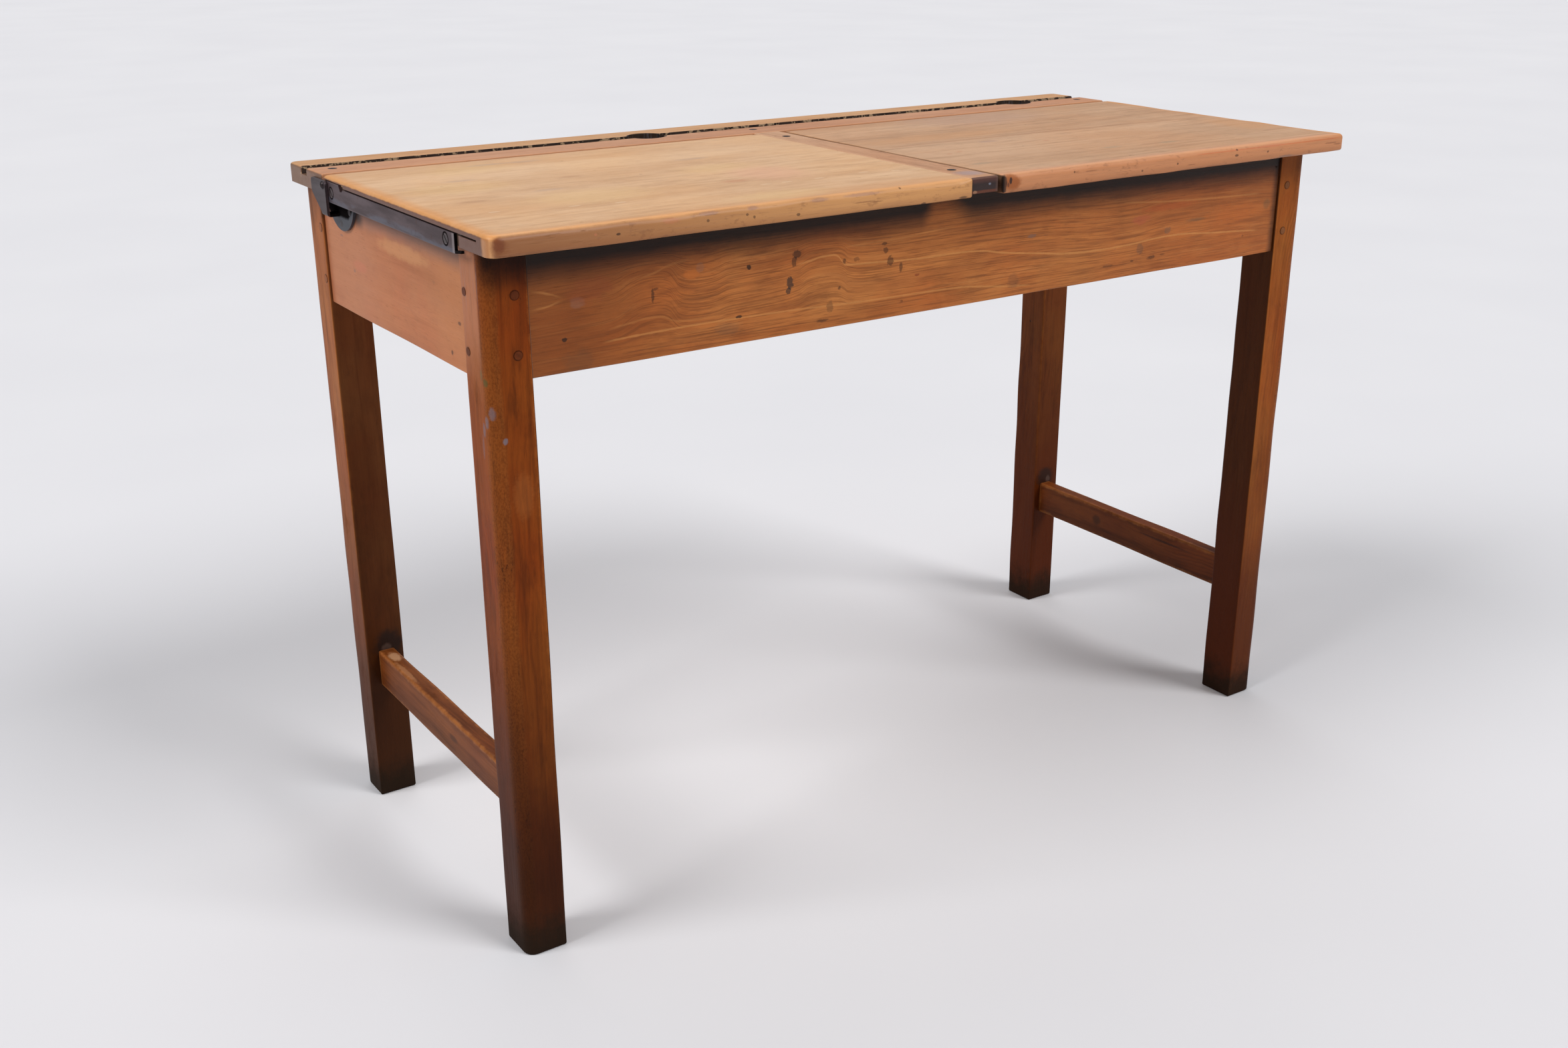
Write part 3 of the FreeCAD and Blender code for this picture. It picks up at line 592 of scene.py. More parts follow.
# %% Lid shape
def worn_lid(name, body, outer, seed):
    """A lid. outer is the sign of X at its iron end. A ring drawn in by an inset lies at the height of
    its arris there: the radius, less the height of a circle at that inset. Near the back edge the
    height is that of the half round, and beside the iron the rings stand back by the strap's depth."""
    low, high = (np.array(corner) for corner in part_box(name))
    thick, back = high[2] - low[2], high[1]
    middle, half = (low + high) / 2, (high - low) / 2
    plan, radii = lid_plan(low, high, outer)

    def points_at(inset, let_in):
        """A ring at an inset. Where let_in is true it stays inside the strap's inner face."""
        a, b = ring(half[0], half[1], radii, plan, inset)
        limit = np.where(let_in, half[0] - strap_depth, half[0])
        return outer * np.minimum(outer * a, limit) + middle[0], b + middle[1]

    def round_back(y):
        """Half the lid's thickness, except in the half round, where it is a circle's height."""
        over = np.clip(y - (back - thick / 2), 0, thick / 2)
        return np.sqrt(np.clip((thick / 2) ** 2 - over**2, 0, None))

    def arris_height(inset, radius):
        """How far below the face an arris is at an inset."""
        left = np.clip(radius - inset, 0, None)
        return radius - np.sqrt(radius**2 - left**2)

    rim_x, rim_y = points_at(0.0, False)
    rim = np.stack([rim_x, rim_y, 0 * rim_x], -1)
    top_arris, bottom_arris, at_outer = lid_arrises(rim, low, high, outer, seed)
    turn = np.linspace(0, np.pi / 2, 13)
    arris_insets = np.append(10 * (1 - np.cos(turn)), [14.0, 24.0, 60.0]) * millimetre
    in_pocket = (at_outer > 0.5) & (rim_y > pocket_start)
    in_kerf = (at_outer > 0.5) & (rim_y > kerf_start)
    step_z = np.where(rim_y > tab_start, tab_pocket_top, pocket_top)
    step_z = np.where(rim_y > open_start, high[2] + millimetre, step_z)
    levels = (low[2], middle_row, kerf_floor - tiny, kerf_floor + tiny,
              step_z - tiny, step_z + tiny, high[2])
    wall = [level + 0 * rim_x for level in levels]
    in_tab = in_pocket & (step_z > high[2])
    wall_let_in = [in_pocket, in_pocket, in_pocket, in_kerf, in_kerf, in_tab, in_tab]
    rows = []
    for inset in arris_insets[::-1]:
        x, y = points_at(inset, in_pocket)
        drop = np.where(in_pocket, 0, arris_height(inset, bottom_arris))
        rows.append(np.stack([x, y, np.maximum(low[2] + drop, middle[2] - round_back(y))], -1))
    lower_edge = rows[-1][..., 2]
    for level, let_in in zip(wall, wall_let_in):
        x, y = points_at(0.0, let_in)
        upper = high[2] - arris_height(strap_depth * in_tab, top_arris)
        upper = np.minimum(upper, middle[2] + round_back(y))
        rows.append(np.stack([x, y, np.clip(level, np.minimum(lower_edge, upper), upper)], -1))
    for inset in arris_insets:
        x, y = points_at(inset, in_tab)
        shown = np.maximum(inset, strap_depth * in_tab)
        z = np.minimum(high[2] - arris_height(shown, top_arris), middle[2] + round_back(y))
        rows.append(np.stack([x, y, z], -1))
    grid = np.concatenate(rows, 0)
    sag = ripple(grid * (1, 1, 0), 0.28, 0.12 * millimetre, seed + 2)
    grid[..., 2] += sag * np.clip((0.12 - grid[..., 1]) / 0.04, 0, 1)
    return piece_from_grid(name.replace("lid", "worn_lid"), grid, body, name)


print("lid shape ready")

# %% [markdown]
# ## Legs
# The legs are the darkest wood, red-brown under old varnish. The arrises that knees and shoes rub are
# paler, and the last hand's breadth above the floor is nearly black.

# %% Legs
frame_middle_y = 0.0145
peg_levels = 0.696, 0.640


def leg_marks(f, colour, gloss, dirt_and_shade_tone):
    """Painted shade on the inner faces, on the front faces and under the top, rubbed outer corners,
    painted shade darkening towards the floor, black feet, a ring round each peg, and the single marks."""
    x, y, z = f.parts(f.place)
    from_middle = f.maths("ABSOLUTE", x), f.maths("ABSOLUTE", f.plus(y, -frame_middle_y))
    # painted shade on the inner faces, deepest on the front legs and least on the back right leg
    inner = f.ramp(from_middle[0], 0.5066, 0.5052), f.ramp(from_middle[1], 0.1806, 0.1792)
    inner = f.maths("MAXIMUM", *inner)
    right = f.ramp(x, -0.1, 0.1)
    depth = f.plus(f.times(f.ramp(y, -0.1, -0.15), 0.14), 0.75)
    lighter = f.times(f.plus(f.times(right, 0.55), 0.45), f.ramp(y, -0.15, -0.1))
    depth = f.plus(depth, f.times(lighter, -0.22))
    colour = f.lay(inner, depth, colour, dirt_and_shade_tone)

    rubbed = f.plus(f.plus(from_middle[0], from_middle[1]), rag(f, 0.01, 0.003))
    corner = f.ramp(rubbed, 0.7615, 0.7665)
    pebbles = f.ramp(f.cloud(f.place, (620.0, 620.0, 380.0), 3.0, 0.7), 0.42, 0.62)
    corner_tone = f.mix(pebbles, tone(150, 86, 36), tone(104, 58, 22))
    colour = f.lay(corner, 0.42, colour, corner_tone)
    specks = f.ramp(f.cloud(f.place, (330.0, 330.0, 130.0), 3.0, 0.7), 0.56, 0.66)
    where = f.times(f.ramp(f.cloud(f.place, 22.0, 3.0, 0.6), 0.4, 0.6), f.ramp(z, 0.6, 0.44))
    colour = f.lay(f.times(specks, corner), f.times(where, 0.75), colour, dirt_and_shade_tone)

    # painted shade: darker towards the floor
    fog = f.cloud(f.place, (18.0, 18.0, 7.0), 4.0, 0.65)
    low = f.ramp(f.plus(z, f.times(fog, 0.2)), 0.60, 0.16)
    colour = f.lay(low, 0.88, colour, f.mix(right, dirt_and_shade_tone, tone(76, 29, 6)))
    # painted shade on the front faces
    front = f.ramp(y, -0.2, -0.211)
    colour = f.lay(front, 0.14, colour, dirt_and_shade_tone)
    # painted shade of the top's overhang, strongest on the front faces and weaker on the right legs
    top = torn(f, z, 0.03, 0.012, 0.690, 0.728)
    top = f.times(top, f.ramp(z, 0.7397, 0.7388))
    unlit = f.plus(f.times(f.ramp(x, 0.3, 0.5), -0.62), 1.0)
    shaded = f.times(f.plus(f.times(front, 0.6), 0.32), unlit)
    colour = f.lay(top, shaded, colour, tone(18, 10, 8))
    foot = f.ramp(f.plus(z, f.times(f.cloud(f.place, 60.0, 4.0, 0.7), 0.05)), 0.085, 0.035)
    colour = f.lay(foot, 0.88, colour, tone(32, 22, 13))
    pale = f.times(f.ramp(f.cloud(f.place, (34.0, 34.0, 16.0), 4.0, 0.7), 0.62, 0.72), foot)
    colour = f.lay(pale, 0.3, colour, tone(98, 74, 50))

    near_peg = f.maths("MINIMUM", *(f.maths("ABSOLUTE", f.plus(z, -level)) for level in peg_levels))
    for side in (f.plus(from_middle[0], -0.519), f.plus(from_middle[1], -0.187)):
        away = f.maths("SQRT", f.plus(f.times(side, side), f.times(near_peg, near_peg)))
        colour = f.lay(f.ramp(away, 0.0056, 0.0044), 0.7, colour, dirt_and_shade_tone)

    colour = stains(f, colour, leg_spots)
    pale_side = f.times(f.ramp(z, 0.585, 0.68), f.ramp(x, -0.5488, -0.5496))
    pale_side = f.times(pale_side, torn(f, y, 0.01, 0.002, -0.2020, -0.1975))
    pale_side = f.times(pale_side, f.ramp(y, -0.11, -0.15))
    streak = f.ramp(f.cloud(f.place, (300.0, 300.0, 9.0), 3.0, 0.6), 0.56, 0.68)
    upper = f.times(f.ramp(z, 0.66, 0.73), f.ramp(x, -0.5485, -0.5495))
    upper = f.times(upper, f.ramp(y, -0.16, -0.17))
    colour = f.lay(pale_side, 0.55, colour, tone(196, 134, 98))
    colour = f.lay(f.times(streak, upper), 0.6, colour, mark_grey)
    return colour, f.plus(gloss, f.times(foot, 0.25))


print("marks for the legs written down")

# %% Four legs
mark_grey, mark_green = tone(118, 112, 120), tone(70, 84, 46)
scar_tone, scar_pale = tone(38, 26, 22), tone(110, 88, 78)
leg_spots = [
    ((-0.550, -0.1975, 0.623), (0.003, 0.0022, 0.005), 0.6, mark_green),
    ((-0.549, -0.2040, 0.617), (0.003, 0.0030, 0.004), 0.6, mark_green),
    ((-0.546, -0.2080, 0.588), (0.004, 0.0030, 0.006), 0.5, mark_grey),
    ((-0.549, -0.2020, 0.579), (0.003, 0.0028, 0.006), 0.55, mark_grey),
    ((-0.550, -0.1960, 0.570), (0.003, 0.0026, 0.007), 0.5, mark_grey),
    ((-0.550, -0.1920, 0.553), (0.003, 0.0020, 0.011), 0.3, mark_grey),
    ((-0.537, -0.2125, 0.561), (0.0024, 0.003, 0.0028), 0.7, mark_grey),
    ((-0.522, -0.2125, 0.505), (0.010, 0.004, 0.022), 0.3, tone(158, 92, 44)),
    ((-0.5225, 0.1935, 0.197), (0.0175, 0.012, 0.017), 0.85, scar_tone),
    ((-0.526, 0.1935, 0.192), (0.006, 0.012, 0.006), 0.45, scar_pale),
    ((0.5250, 0.1935, 0.199), (0.0155, 0.012, 0.014), 0.8, scar_tone),
    ((0.531, 0.1935, 0.196), (0.004, 0.012, 0.005), 0.4, scar_pale),
    # painted shade in the gap beside the side rail, high on the back left leg
    ((-0.550, 0.1950, 0.722), (0.010, 0.0016, 0.020), 0.7, brown_grime_and_shade),
]
leg_tones = {
    "leg_front_left": (tone(156, 82, 24), tone(136, 64, 13), tone(72, 30, 5), 1),
    "leg_front_right": (tone(176, 104, 42), tone(152, 79, 24), tone(92, 44, 10), 2),
    "leg_back_left": (tone(178, 112, 62), tone(152, 86, 40), tone(90, 46, 16), 3),
    "leg_back_right": (tone(150, 84, 34), tone(124, 62, 20), tone(70, 32, 8), 4),
}
outer_corner_places = {"leg_front_left": 2, "leg_front_right": 1,
                       "leg_back_left": 3, "leg_back_right": 0}
for leg, (pale, mid, dark, seed) in leg_tones.items():
    low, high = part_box(leg)
    arrises = [1.8] * 4
    arrises[outer_corner_places[leg]] = 12.0
    piece = worn_bar("worn_" + leg, low, high, "z", arrises, (2.6, 0.4), "frame", [leg], seed * 10)
    wood = old_wood(leg, (low, high), "z", pale, mid, dark, heart=(0.03, 0.05), rings=210.0,
                    figure=0.3, streaks=0.5, smudges=0.5, wear=0.45, wear_tone=tone(182, 108, 50),
                    wear_width=0.0035, dirt=0.7, seed=seed * 1.0, rough=0.44, gloss_level=0.08,
                    extra=leg_marks)
    dress(piece, wood)
print("legs finished:", len(leg_tones))

# %% [markdown]
# ## What shows on the front apron
# The front apron is the showiest board: orange-brown, with a figure that flows like slow water, thin
# pale lines in it, and the small dark marks of knees and nails. A noise gives the flow, but it can't
# put one line in one place. So the lines and marks that the eye stops at are listed, in millimetres.

# %% Lines and spots of the front apron
pale_lines = [
    ([(-215, 684), (-195, 687), (-165, 690), (-148, 678), (-110, 676), (-50, 673), (0, 673), (33, 671),
      (61, 666), (114, 659), (187, 652), (253, 652), (303, 655), (341, 655), (379, 652),
      (480, 645)], 0.85),
    ([(240, 702), (303, 697), (354, 694), (404, 692), (480, 690)], 0.55),
    ([(-434, 638), (-391, 640), (-328, 641), (-227, 640), (-126, 637), (0, 635), (33, 632), (76, 627),
      (112, 624)], 0.7),
    ([(-156, 695), (-120, 697), (-88, 697), (-40, 700), (0, 702)], 0.4),
    ([(-505, 697), (-488, 693), (-476, 689), (-468, 684)], 0.6),
    ([(-505, 679), (-488, 680), (-474, 683), (-466, 684)], 0.6),
    ([(-430, 648), (-400, 653), (-375, 655), (-345, 647), (-300, 646)], 0.3),
    ([(-400, 692), (-375, 697), (-350, 704), (-325, 706)], 0.35),
]
dark_lines = [
    ([(-416, 621), (-390, 625), (-300, 624), (-227, 625), (-190, 624)], 0.6),
    ([(-409, 619), (-375, 621), (-341, 618)], 0.45),
    ([(-361, 652), (-345, 651), (-325, 650)], 0.5),
    ([(-318, 677), (-298, 678), (-270, 675), (-235, 677)], 0.4),
    ([(-418, 669), (-408, 664), (-396, 669), (-384, 679)], 0.4),
    ([(-300, 681), (-265, 683), (-225, 681), (-195, 678)], 0.4),
    ([(-370, 687), (-355, 676), (-335, 670), (-310, 672)], 0.35),
    ([(150, 634), (225, 630), (296, 633), (370, 631)], 0.3),
    ([(225, 664), (255, 660), (280, 664), (310, 668)], 0.35),
    ([(336, 672), (350, 668), (380, 671)], 0.4),
]
apron_spots = [
    ((-455, 679), (7, 5), 0.14, tone(128, 116, 112)), ((-440, 690), (22, 12), 0.3, tone(140, 68, 34)),
    ((-332, 691), (9, 5), 0.6, tone(190, 106, 44)), ((-322, 697), (5, 5), 0.15, tone(120, 108, 100)),
    ((-470, 647), (3, 2), 0.75, brown_grime_and_shade), ((-278, 642), (3.5, 1.6), 0.7, brown_grime_and_shade),
    ((-266, 690), (2.4, 2.4), 0.75, brown_grime_and_shade), ((-209, 696), (5, 4), 0.55, brown_grime_and_shade),
    ((-212, 689), (3, 5), 0.5, brown_grime_and_shade), ((-217, 668), (4, 6), 0.65, tone(44, 38, 34)),
    ((-219, 660), (3, 3), 0.6, tone(44, 38, 34)), ((-375, 676), (1.5, 7), 0.55, brown_grime_and_shade),
    ((-372, 682), (3, 1.2), 0.45, brown_grime_and_shade), ((-150, 682), (2, 2.5), 0.5, brown_grime_and_shade),
    ((-135, 682), (4, 2), 0.35, brown_grime_and_shade), ((-99, 694), (4, 1.6), 0.5, brown_grime_and_shade),
    ((-97, 687), (3, 3), 0.5, brown_grime_and_shade), ((-91, 675), (4, 5), 0.5, brown_grime_and_shade),
    ((-77, 667), (2, 5), 0.5, brown_grime_and_shade), ((-168, 637), (4, 6), 0.4, tone(96, 62, 34)),
    ((-178, 624), (7, 1.6), 0.5, brown_grime_and_shade), ((-290, 632), (14, 6), 0.22, tone(100, 76, 56)),
    ((-455, 625), (16, 9), 0.22, tone(92, 62, 40)), ((-156, 655), (1.8, 1.8), 0.5, brown_grime_and_shade),
    ((-55, 656), (3, 1.4), 0.5, tone(120, 48, 22)), ((106, 679), (6, 2), 0.4, tone(110, 92, 84)),
    ((225, 631), (8, 1.2), 0.4, brown_grime_and_shade), ((263, 632.5), (3, 1.1), 0.45, brown_grime_and_shade),
    ((294, 633), (6, 2.0), 0.5, brown_grime_and_shade), ((312, 634.5), (4, 1.0), 0.35, brown_grime_and_shade),
    ((273, 679), (13, 5), 0.35, tone(176, 84, 58)), ((318, 690), (40, 4), 0.35, tone(172, 78, 34)),
    ((274, 645), (5, 6), 0.35, tone(96, 72, 54)), ((80, 632), (8, 8), 0.3, tone(104, 66, 42)),
    ((318, 662), (5, 4), 0.4, tone(104, 80, 62)), ((365, 670), (14, 2), 0.35, tone(92, 78, 56)),
    ((440, 672), (50, 9), 0.3, tone(186, 98, 38)), ((488, 676), (6, 6), 0.35, tone(100, 80, 52)),
]
flow_line = [
    (-505, 0), (-460, 2), (-425, 4), (-395, 14), (-372, 17), (-350, 5), (-320, -5), (-290, 0),
    (-240, 2), (-205, 6), (-180, 12), (-165, 12), (-145, 4), (-110, 0), (0, 0), (120, -2), (250, -8),
    (320, -4), (400, -4), (505, -8),
]
print("lines and spots of the apron:", len(pale_lines + dark_lines), len(apron_spots))


# %% Marks of the front apron
def apron_marks(f, colour, gloss, dirt_and_shade_tone):
    """A figure that follows flow_line, the listed lines and spots, and painted shade under the overhang
    and at the right end.
    """
    x, y, z = f.parts(f.place)
    lift = curve_height(f, x, np.array(flow_line) * millimetre)
    most = f.within(z, (0.622, 0.665), (0.722, 0.695))
    level = f.plus(z, f.times(f.times(lift, most), -1.0))
    flow = f.add("ShaderNodeCombineXYZ", 0, {0: x, 1: y, 2: level})
    grain = f.cloud(flow, (7.0, 7.0, 230.0), 4.0, 0.62)
    broad = f.cloud(flow, (3.0, 3.0, 60.0), 3.0, 0.6)
    where = f.ramp(f.cloud(f.place, (5.0, 5.0, 18.0), 2.0), 0.4, 0.62)
    colour = f.lay(f.times(f.ramp(grain, 0.52, 0.66), where), 0.42, colour, tone(112, 66, 34))
    colour = f.lay(f.ramp(grain, 0.46, 0.34), 0.25, colour, tone(196, 132, 74))
    colour = f.lay(f.ramp(broad, 0.5, 0.66), 0.3, colour, tone(138, 74, 34))
    fine = f.cloud(flow, (14.0, 14.0, 640.0), 3.0, 0.6)
    colour = f.lay(f.ramp(fine, 0.48, 0.62), 0.5, colour, tone(104, 56, 22))
    wedge = f.plus(x, f.times(f.maths("ABSOLUTE", f.plus(z, -0.687)), 3.2))
    wedge = torn(f, wedge, 0.01, 0.004, -0.462, -0.470)
    colour = f.lay(wedge, 0.45, colour, tone(184, 116, 56))
    left = torn(f, x, 0.03, 0.03, -0.30, -0.47)
    colour = f.lay(left, 0.7, colour, tone(114, 58, 20))
    right = torn(f, x, 0.03, 0.03, 0.10, 0.40)
    colour = f.lay(right, 0.3, colour, tone(158, 82, 34))
    for lines, line_tone, width in ((pale_lines, tone(208, 142, 78), 0.0016),
                                    (dark_lines, tone(84, 48, 26), 0.0009)):
        for points, strength in lines:
            line = drawn_line(f, x, z, np.array(points) * millimetre, width)
            colour = f.lay(line, strength * 0.6, colour, line_tone)
    for (spot_x, spot_z), (wide, tall), strength, spot_tone in apron_spots:
        size = (wide * millimetre, None, tall * millimetre)
        middle, soft = (spot_x * millimetre, 0.0, spot_z * millimetre), 0.35 if wide > 5 else 0.15
        colour = stain(f, colour, middle, size, min(1.0, strength * 1.2), spot_tone, soft, 0.9)
    # painted shade of the lids' overhang on the front face, lifted into a lit notch below the strip's
    # set-back end
    notch = f.within(x, (-0.052, -0.030), (0.024, -0.022))
    shade = f.plus(f.plus(z, f.times(notch, -0.018)), rag(f, 0.03, 0.003))
    face = f.ramp(y, -0.2066, -0.2086)
    colour = f.lay(f.times(f.ramp(shade, 0.696, 0.712), face), 0.5, colour, brown_grime_and_shade)
    colour = f.lay(f.times(f.ramp(shade, 0.706, 0.724), face), 0.93, colour, tone(14, 7, 4))
    # painted shade in the gap where the apron meets the right leg
    end = torn(f, x, 0.01, 0.002, 0.492, 0.503)
    colour = f.lay(end, 0.7, colour, black_grime_and_shade)
    return f.lay(f.ramp(x, -0.5036, -0.5045), 0.5, colour, tone(112, 100, 92)), gloss


print("marks for the apron ready")

# %% [markdown]
# ## Side rails and stretchers
# The side rail is pinker and quieter than the apron, with a painted grey shadow of the strap under the
# top.
# The stretchers are dark and kicked about: shoes have rubbed their top arrises pale again. Both are
# the same wood with other numbers, and each adds its own marks.

# %% Marks of the side rails and stretchers
def rail_marks(f, colour, gloss, dirt_and_shade_tone):
    """Warmer at both ends, a painted grey shadow of the strap at the top, black painted shade behind the
    iron, and the single marks.
    """
    x, y, z = f.parts(f.place)
    colour = f.lay(f.ramp(y, -0.05, -0.14), 0.3, colour, tone(198, 128, 74))
    colour = f.lay(f.ramp(y, 0.02, 0.10), 0.3, colour, tone(186, 122, 92))
    # painted shadow of the strap, grey under the top and black behind the bracket
    under = torn(f, z, 0.03, 0.004, 0.706, 0.728)
    colour = f.lay(under, 0.75, colour, tone(106, 80, 72))
    behind = f.times(f.ramp(y, 0.074, 0.092), f.ramp(z, 0.708, 0.722))
    colour = f.lay(behind, 0.85, colour, black_grime_and_shade)
    last = torn(f, y, 0.01, 0.003, 0.178, 0.192)
    colour = f.lay(last, 0.35, colour, tone(140, 66, 34))
    colour = stains(f, colour, (
        ((0.0, -0.150, 0.661), (None, 0.0035, 0.0018), 0.8, tone(96, 56, 34)),
        ((0.0, 0.100, 0.670), (None, 0.018, 0.006), 0.3, tone(200, 110, 84)),
        ((0.0, 0.117, 0.663), (None, 0.003, 0.0016), 0.5, tone(120, 96, 90)),
        ((0.0, 0.146, 0.696), (None, 0.004, 0.0012), 0.5, tone(120, 96, 90)),
        ((0.0, -0.095, 0.690), (None, 0.004, 0.0012), 0.35, tone(140, 96, 66)),
        ((0.0, -0.02, 0.706), (None, 0.06, 0.008), 0.35, tone(214, 156, 100)),
        ((0.0, -0.1275, 0.6285), (None, 0.0022, 0.0022), 0.7, brown_grime_and_shade),
    ))
    return colour, gloss


def stretcher_marks(f, colour, gloss, dirt_and_shade_tone):
    """Darker inner and lower faces, and the single marks."""
    x, y, z = f.parts(f.place)
    inner = f.ramp(f.maths("ABSOLUTE", x), 0.519, 0.517)
    colour = f.lay(inner, 0.2, colour, dirt_and_shade_tone)
    fog = f.cloud(f.place, (50.0, 14.0, 50.0), 4.0, 0.7)
    lower = f.ramp(f.plus(z, f.times(fog, 0.02)), 0.186, 0.156)
    colour = f.lay(lower, 0.35, colour, dirt_and_shade_tone)
    colour = stains(f, colour, (
        ((-0.526, 0.168, 0.191), (0.006, 0.012, 0.004), 0.7, tone(196, 150, 112)),
        ((-0.531, 0.120, 0.191), (0.003, 0.030, 0.004), 0.45, tone(190, 132, 88)),
        ((-0.536, -0.020, 0.168), (0.004, 0.010, 0.004), 0.5, brown_grime_and_shade),
        ((0.516, 0.070, 0.170), (0.004, 0.008, 0.007), 0.6, brown_grime_and_shade),
        ((0.516, -0.060, 0.178), (0.004, 0.045, 0.0016), 0.6, black_grime_and_shade),
    ))
    return colour, gloss


print("marks for the rails and stretchers ready")

# %% [markdown]
# ## The boards between the legs
# Each of these boards has tenons that go into the legs. The worn piece needs only what shows, so it
# ends half a millimetre inside the legs, and its faces meet them without a gap.

# %% Aprons, rails and stretchers
def between_legs(name, grain):
    """A board's box without its tenons: it ends half a millimetre inside the legs it runs between."""
    low, high = (list(corner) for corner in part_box(name))
    side = 0 if grain == "x" else 1
    leg_low, leg_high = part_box("leg_front_left"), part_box("leg_back_right")
    low[side] = leg_low[1][side] - 0.5 * millimetre
    high[side] = leg_high[0][side] + 0.5 * millimetre
    return low, high


apron_tones = tone(190, 120, 60), tone(168, 96, 42), tone(116, 60, 24)
low, high = between_legs("front_apron", "x")
piece = worn_bar("worn_front_apron", low, high, "x", (0.4, 0.4, 1.6, 1.4), (0.3, 0.3), "frame",
                 ["front_apron"], 50, uneven=0.25)
wood = old_wood("front_apron", (low, high), "x", *apron_tones, heart=(0.05, -0.06), rings=120.0,
                figure=0.12, streaks=0.2, wear=0.2, dirt=0.3, seed=5.0, rough=0.42, gloss_level=0.2,
                extra=apron_marks)
dress(piece, wood)
wood = old_wood("back_apron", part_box("back_apron"), "x", *apron_tones, heart=(0.02, 0.08),
                rings=130.0, figure=0.3, wear=0.25, dirt=0.4, seed=6.0, gloss_level=0.2)
finish_node("back_apron", wood)
for rail, seed in (("side_rail_left", 7), ("side_rail_right", 8)):
    low, high = between_legs(rail, "y")
    piece = worn_bar("worn_" + rail, low, high, "y", (0.4, 0.4, 1.6, 1.6), (0.3, 0.3), "frame",
                     [rail], seed * 10, uneven=0.2)
    wood = old_wood(rail, (low, high), "y", tone(188, 121, 77), tone(176, 109, 66),
                    tone(136, 79, 45), heart=(0.1, 0.05), rings=110.0, figure=0.08, streaks=0.2,
                    smudges=0.15, wear=0.2, dirt=0.15, seed=seed * 1.0, rough=0.5, gloss_level=0.25,
                    extra=rail_marks)
    dress(piece, wood)
for bar, seed, tones in (
    ("side_stretcher_left", 9, (tone(136, 76, 33), tone(110, 55, 18), tone(68, 31, 8))),
    ("side_stretcher_right", 10, (tone(140, 74, 30), tone(112, 55, 18), tone(66, 30, 8))),
):
    low, high = between_legs(bar, "y")
    piece = worn_bar("worn_" + bar, low, high, "y", (2.8, 2.8, 2.2, 2.2), (0.3, 0.3), "frame",
                     [bar], seed * 10, uneven=0.4, step=6.0)
    wood = old_wood(bar, (low, high), "y", *tones, heart=(0.02, 0.03), rings=240.0, figure=0.4,
                    streaks=0.6, wear=0.6, wear_tone=tone(176, 110, 58), wear_width=0.005, dirt=0.8,
                    seed=seed * 1.0, rough=0.45, gloss_level=0.12, extra=stretcher_marks)
    dress(piece, wood)
print("aprons, rails and stretchers finished")

# %% [markdown]
# ## Marks on the lids
# The top has been sanded back to honey-coloured wood. The left lid is the palest, the right one browner
# with grey streaks. Both have round pale patches, small crescents that a compass or a cup has left,
# and on the front edge the nicks of many years. Soft spots in a list give each its place.

# %% Spots on a top and on a front edge
top_level, front_level = 0.760, -0.2575


def top_spots(f, colour, table):
    """Marks on a face that looks up. Each is x, y, half its width and depth, strength and tone."""
    for x, y, wide, deep, strength, mark_tone in table:
        size = (wide * millimetre, deep * millimetre, 7 * millimetre)
        middle = (x * millimetre, y * millimetre, top_level)
        soft = 0.6 if wide > 10 else 0.3
        colour = stain(f, colour, middle, size, strength, mark_tone, soft)
    return colour


def nose_spots(f, colour, table):
    """Marks on the front edge. Each is x, z, half its width and height, strength and tone."""
    for x, z, wide, tall, strength, mark_tone in table:
        size = (wide * millimetre, 5 * millimetre, tall * millimetre)
        middle = (x * millimetre, front_level, z * millimetre)
        colour = stain(f, colour, middle, size, strength, mark_tone, 0.2 if wide < 5 else 0.35)
    return colour


print("spots ready")

# %% Lists of the lids' marks
honey, pinkish, greyish = tone(224, 184, 126), tone(222, 162, 132), tone(176, 148, 128)
brownish, reddish, smudge_purple = tone(166, 116, 80), tone(186, 112, 78), tone(138, 104, 96)
line_brown, grey_green, orange = tone(110, 66, 40), tone(154, 138, 112), tone(208, 148, 96)
crescents = [(-505, -150), (-430, -165), (-385, -172), (-215, -165), (-190, -165), (-150, -165),
             (-90, -160), (-55, -170)]
lid_tops = {
    "left": [
        (-390, -125, 55, 34, 0.4, honey), (-200, -50, 42, 26, 0.35, honey),
        (-235, -225, 52, 20, 0.4, honey), (-480, -10, 52, 30, 0.35, honey),
        (-425, 95, 46, 26, 0.35, honey), (-175, -105, 36, 42, 0.4, pinkish),
        (-390, 112, 22, 5, 0.4, greyish), (-350, 110, 18, 6, 0.4, greyish),
        (-460, 30, 16, 5, 0.4, greyish), (-410, -70, 16, 5, 0.4, greyish),
        (-190, 22, 18, 5, 0.4, greyish), (-500, -90, 14, 6, 0.35, brownish),
        (-355, -10, 12, 5, 0.35, brownish), (-230, -130, 14, 7, 0.35, reddish),
        (-120, -236, 100, 18, 0.35, orange),
    ] + [(x, y, 6, 2, 0.55, tone(234, 202, 166)) for x, y in crescents]
      + [(x + 1, y - 2.4, 6, 0.8, 0.5, brownish) for x, y in crescents],
    "right": [
        (285, 110, 90, 52, 0.4, tone(178, 142, 124)), (135, 0, 116, 22, 0.35, orange),
        (525, -125, 28, 48, 0.4, orange), (165, -62, 13, 6, 0.4, tone(150, 120, 112)),
        (250, -178, 14, 5, 0.4, grey_green), (335, -185, 14, 5, 0.4, grey_green),
        (50, -185, 12, 5, 0.4, grey_green), (65, -112, 4, 2, 0.5, reddish),
        (85, -105, 4, 2, 0.5, reddish), (225, -95, 5, 2, 0.5, reddish),
    ],
}
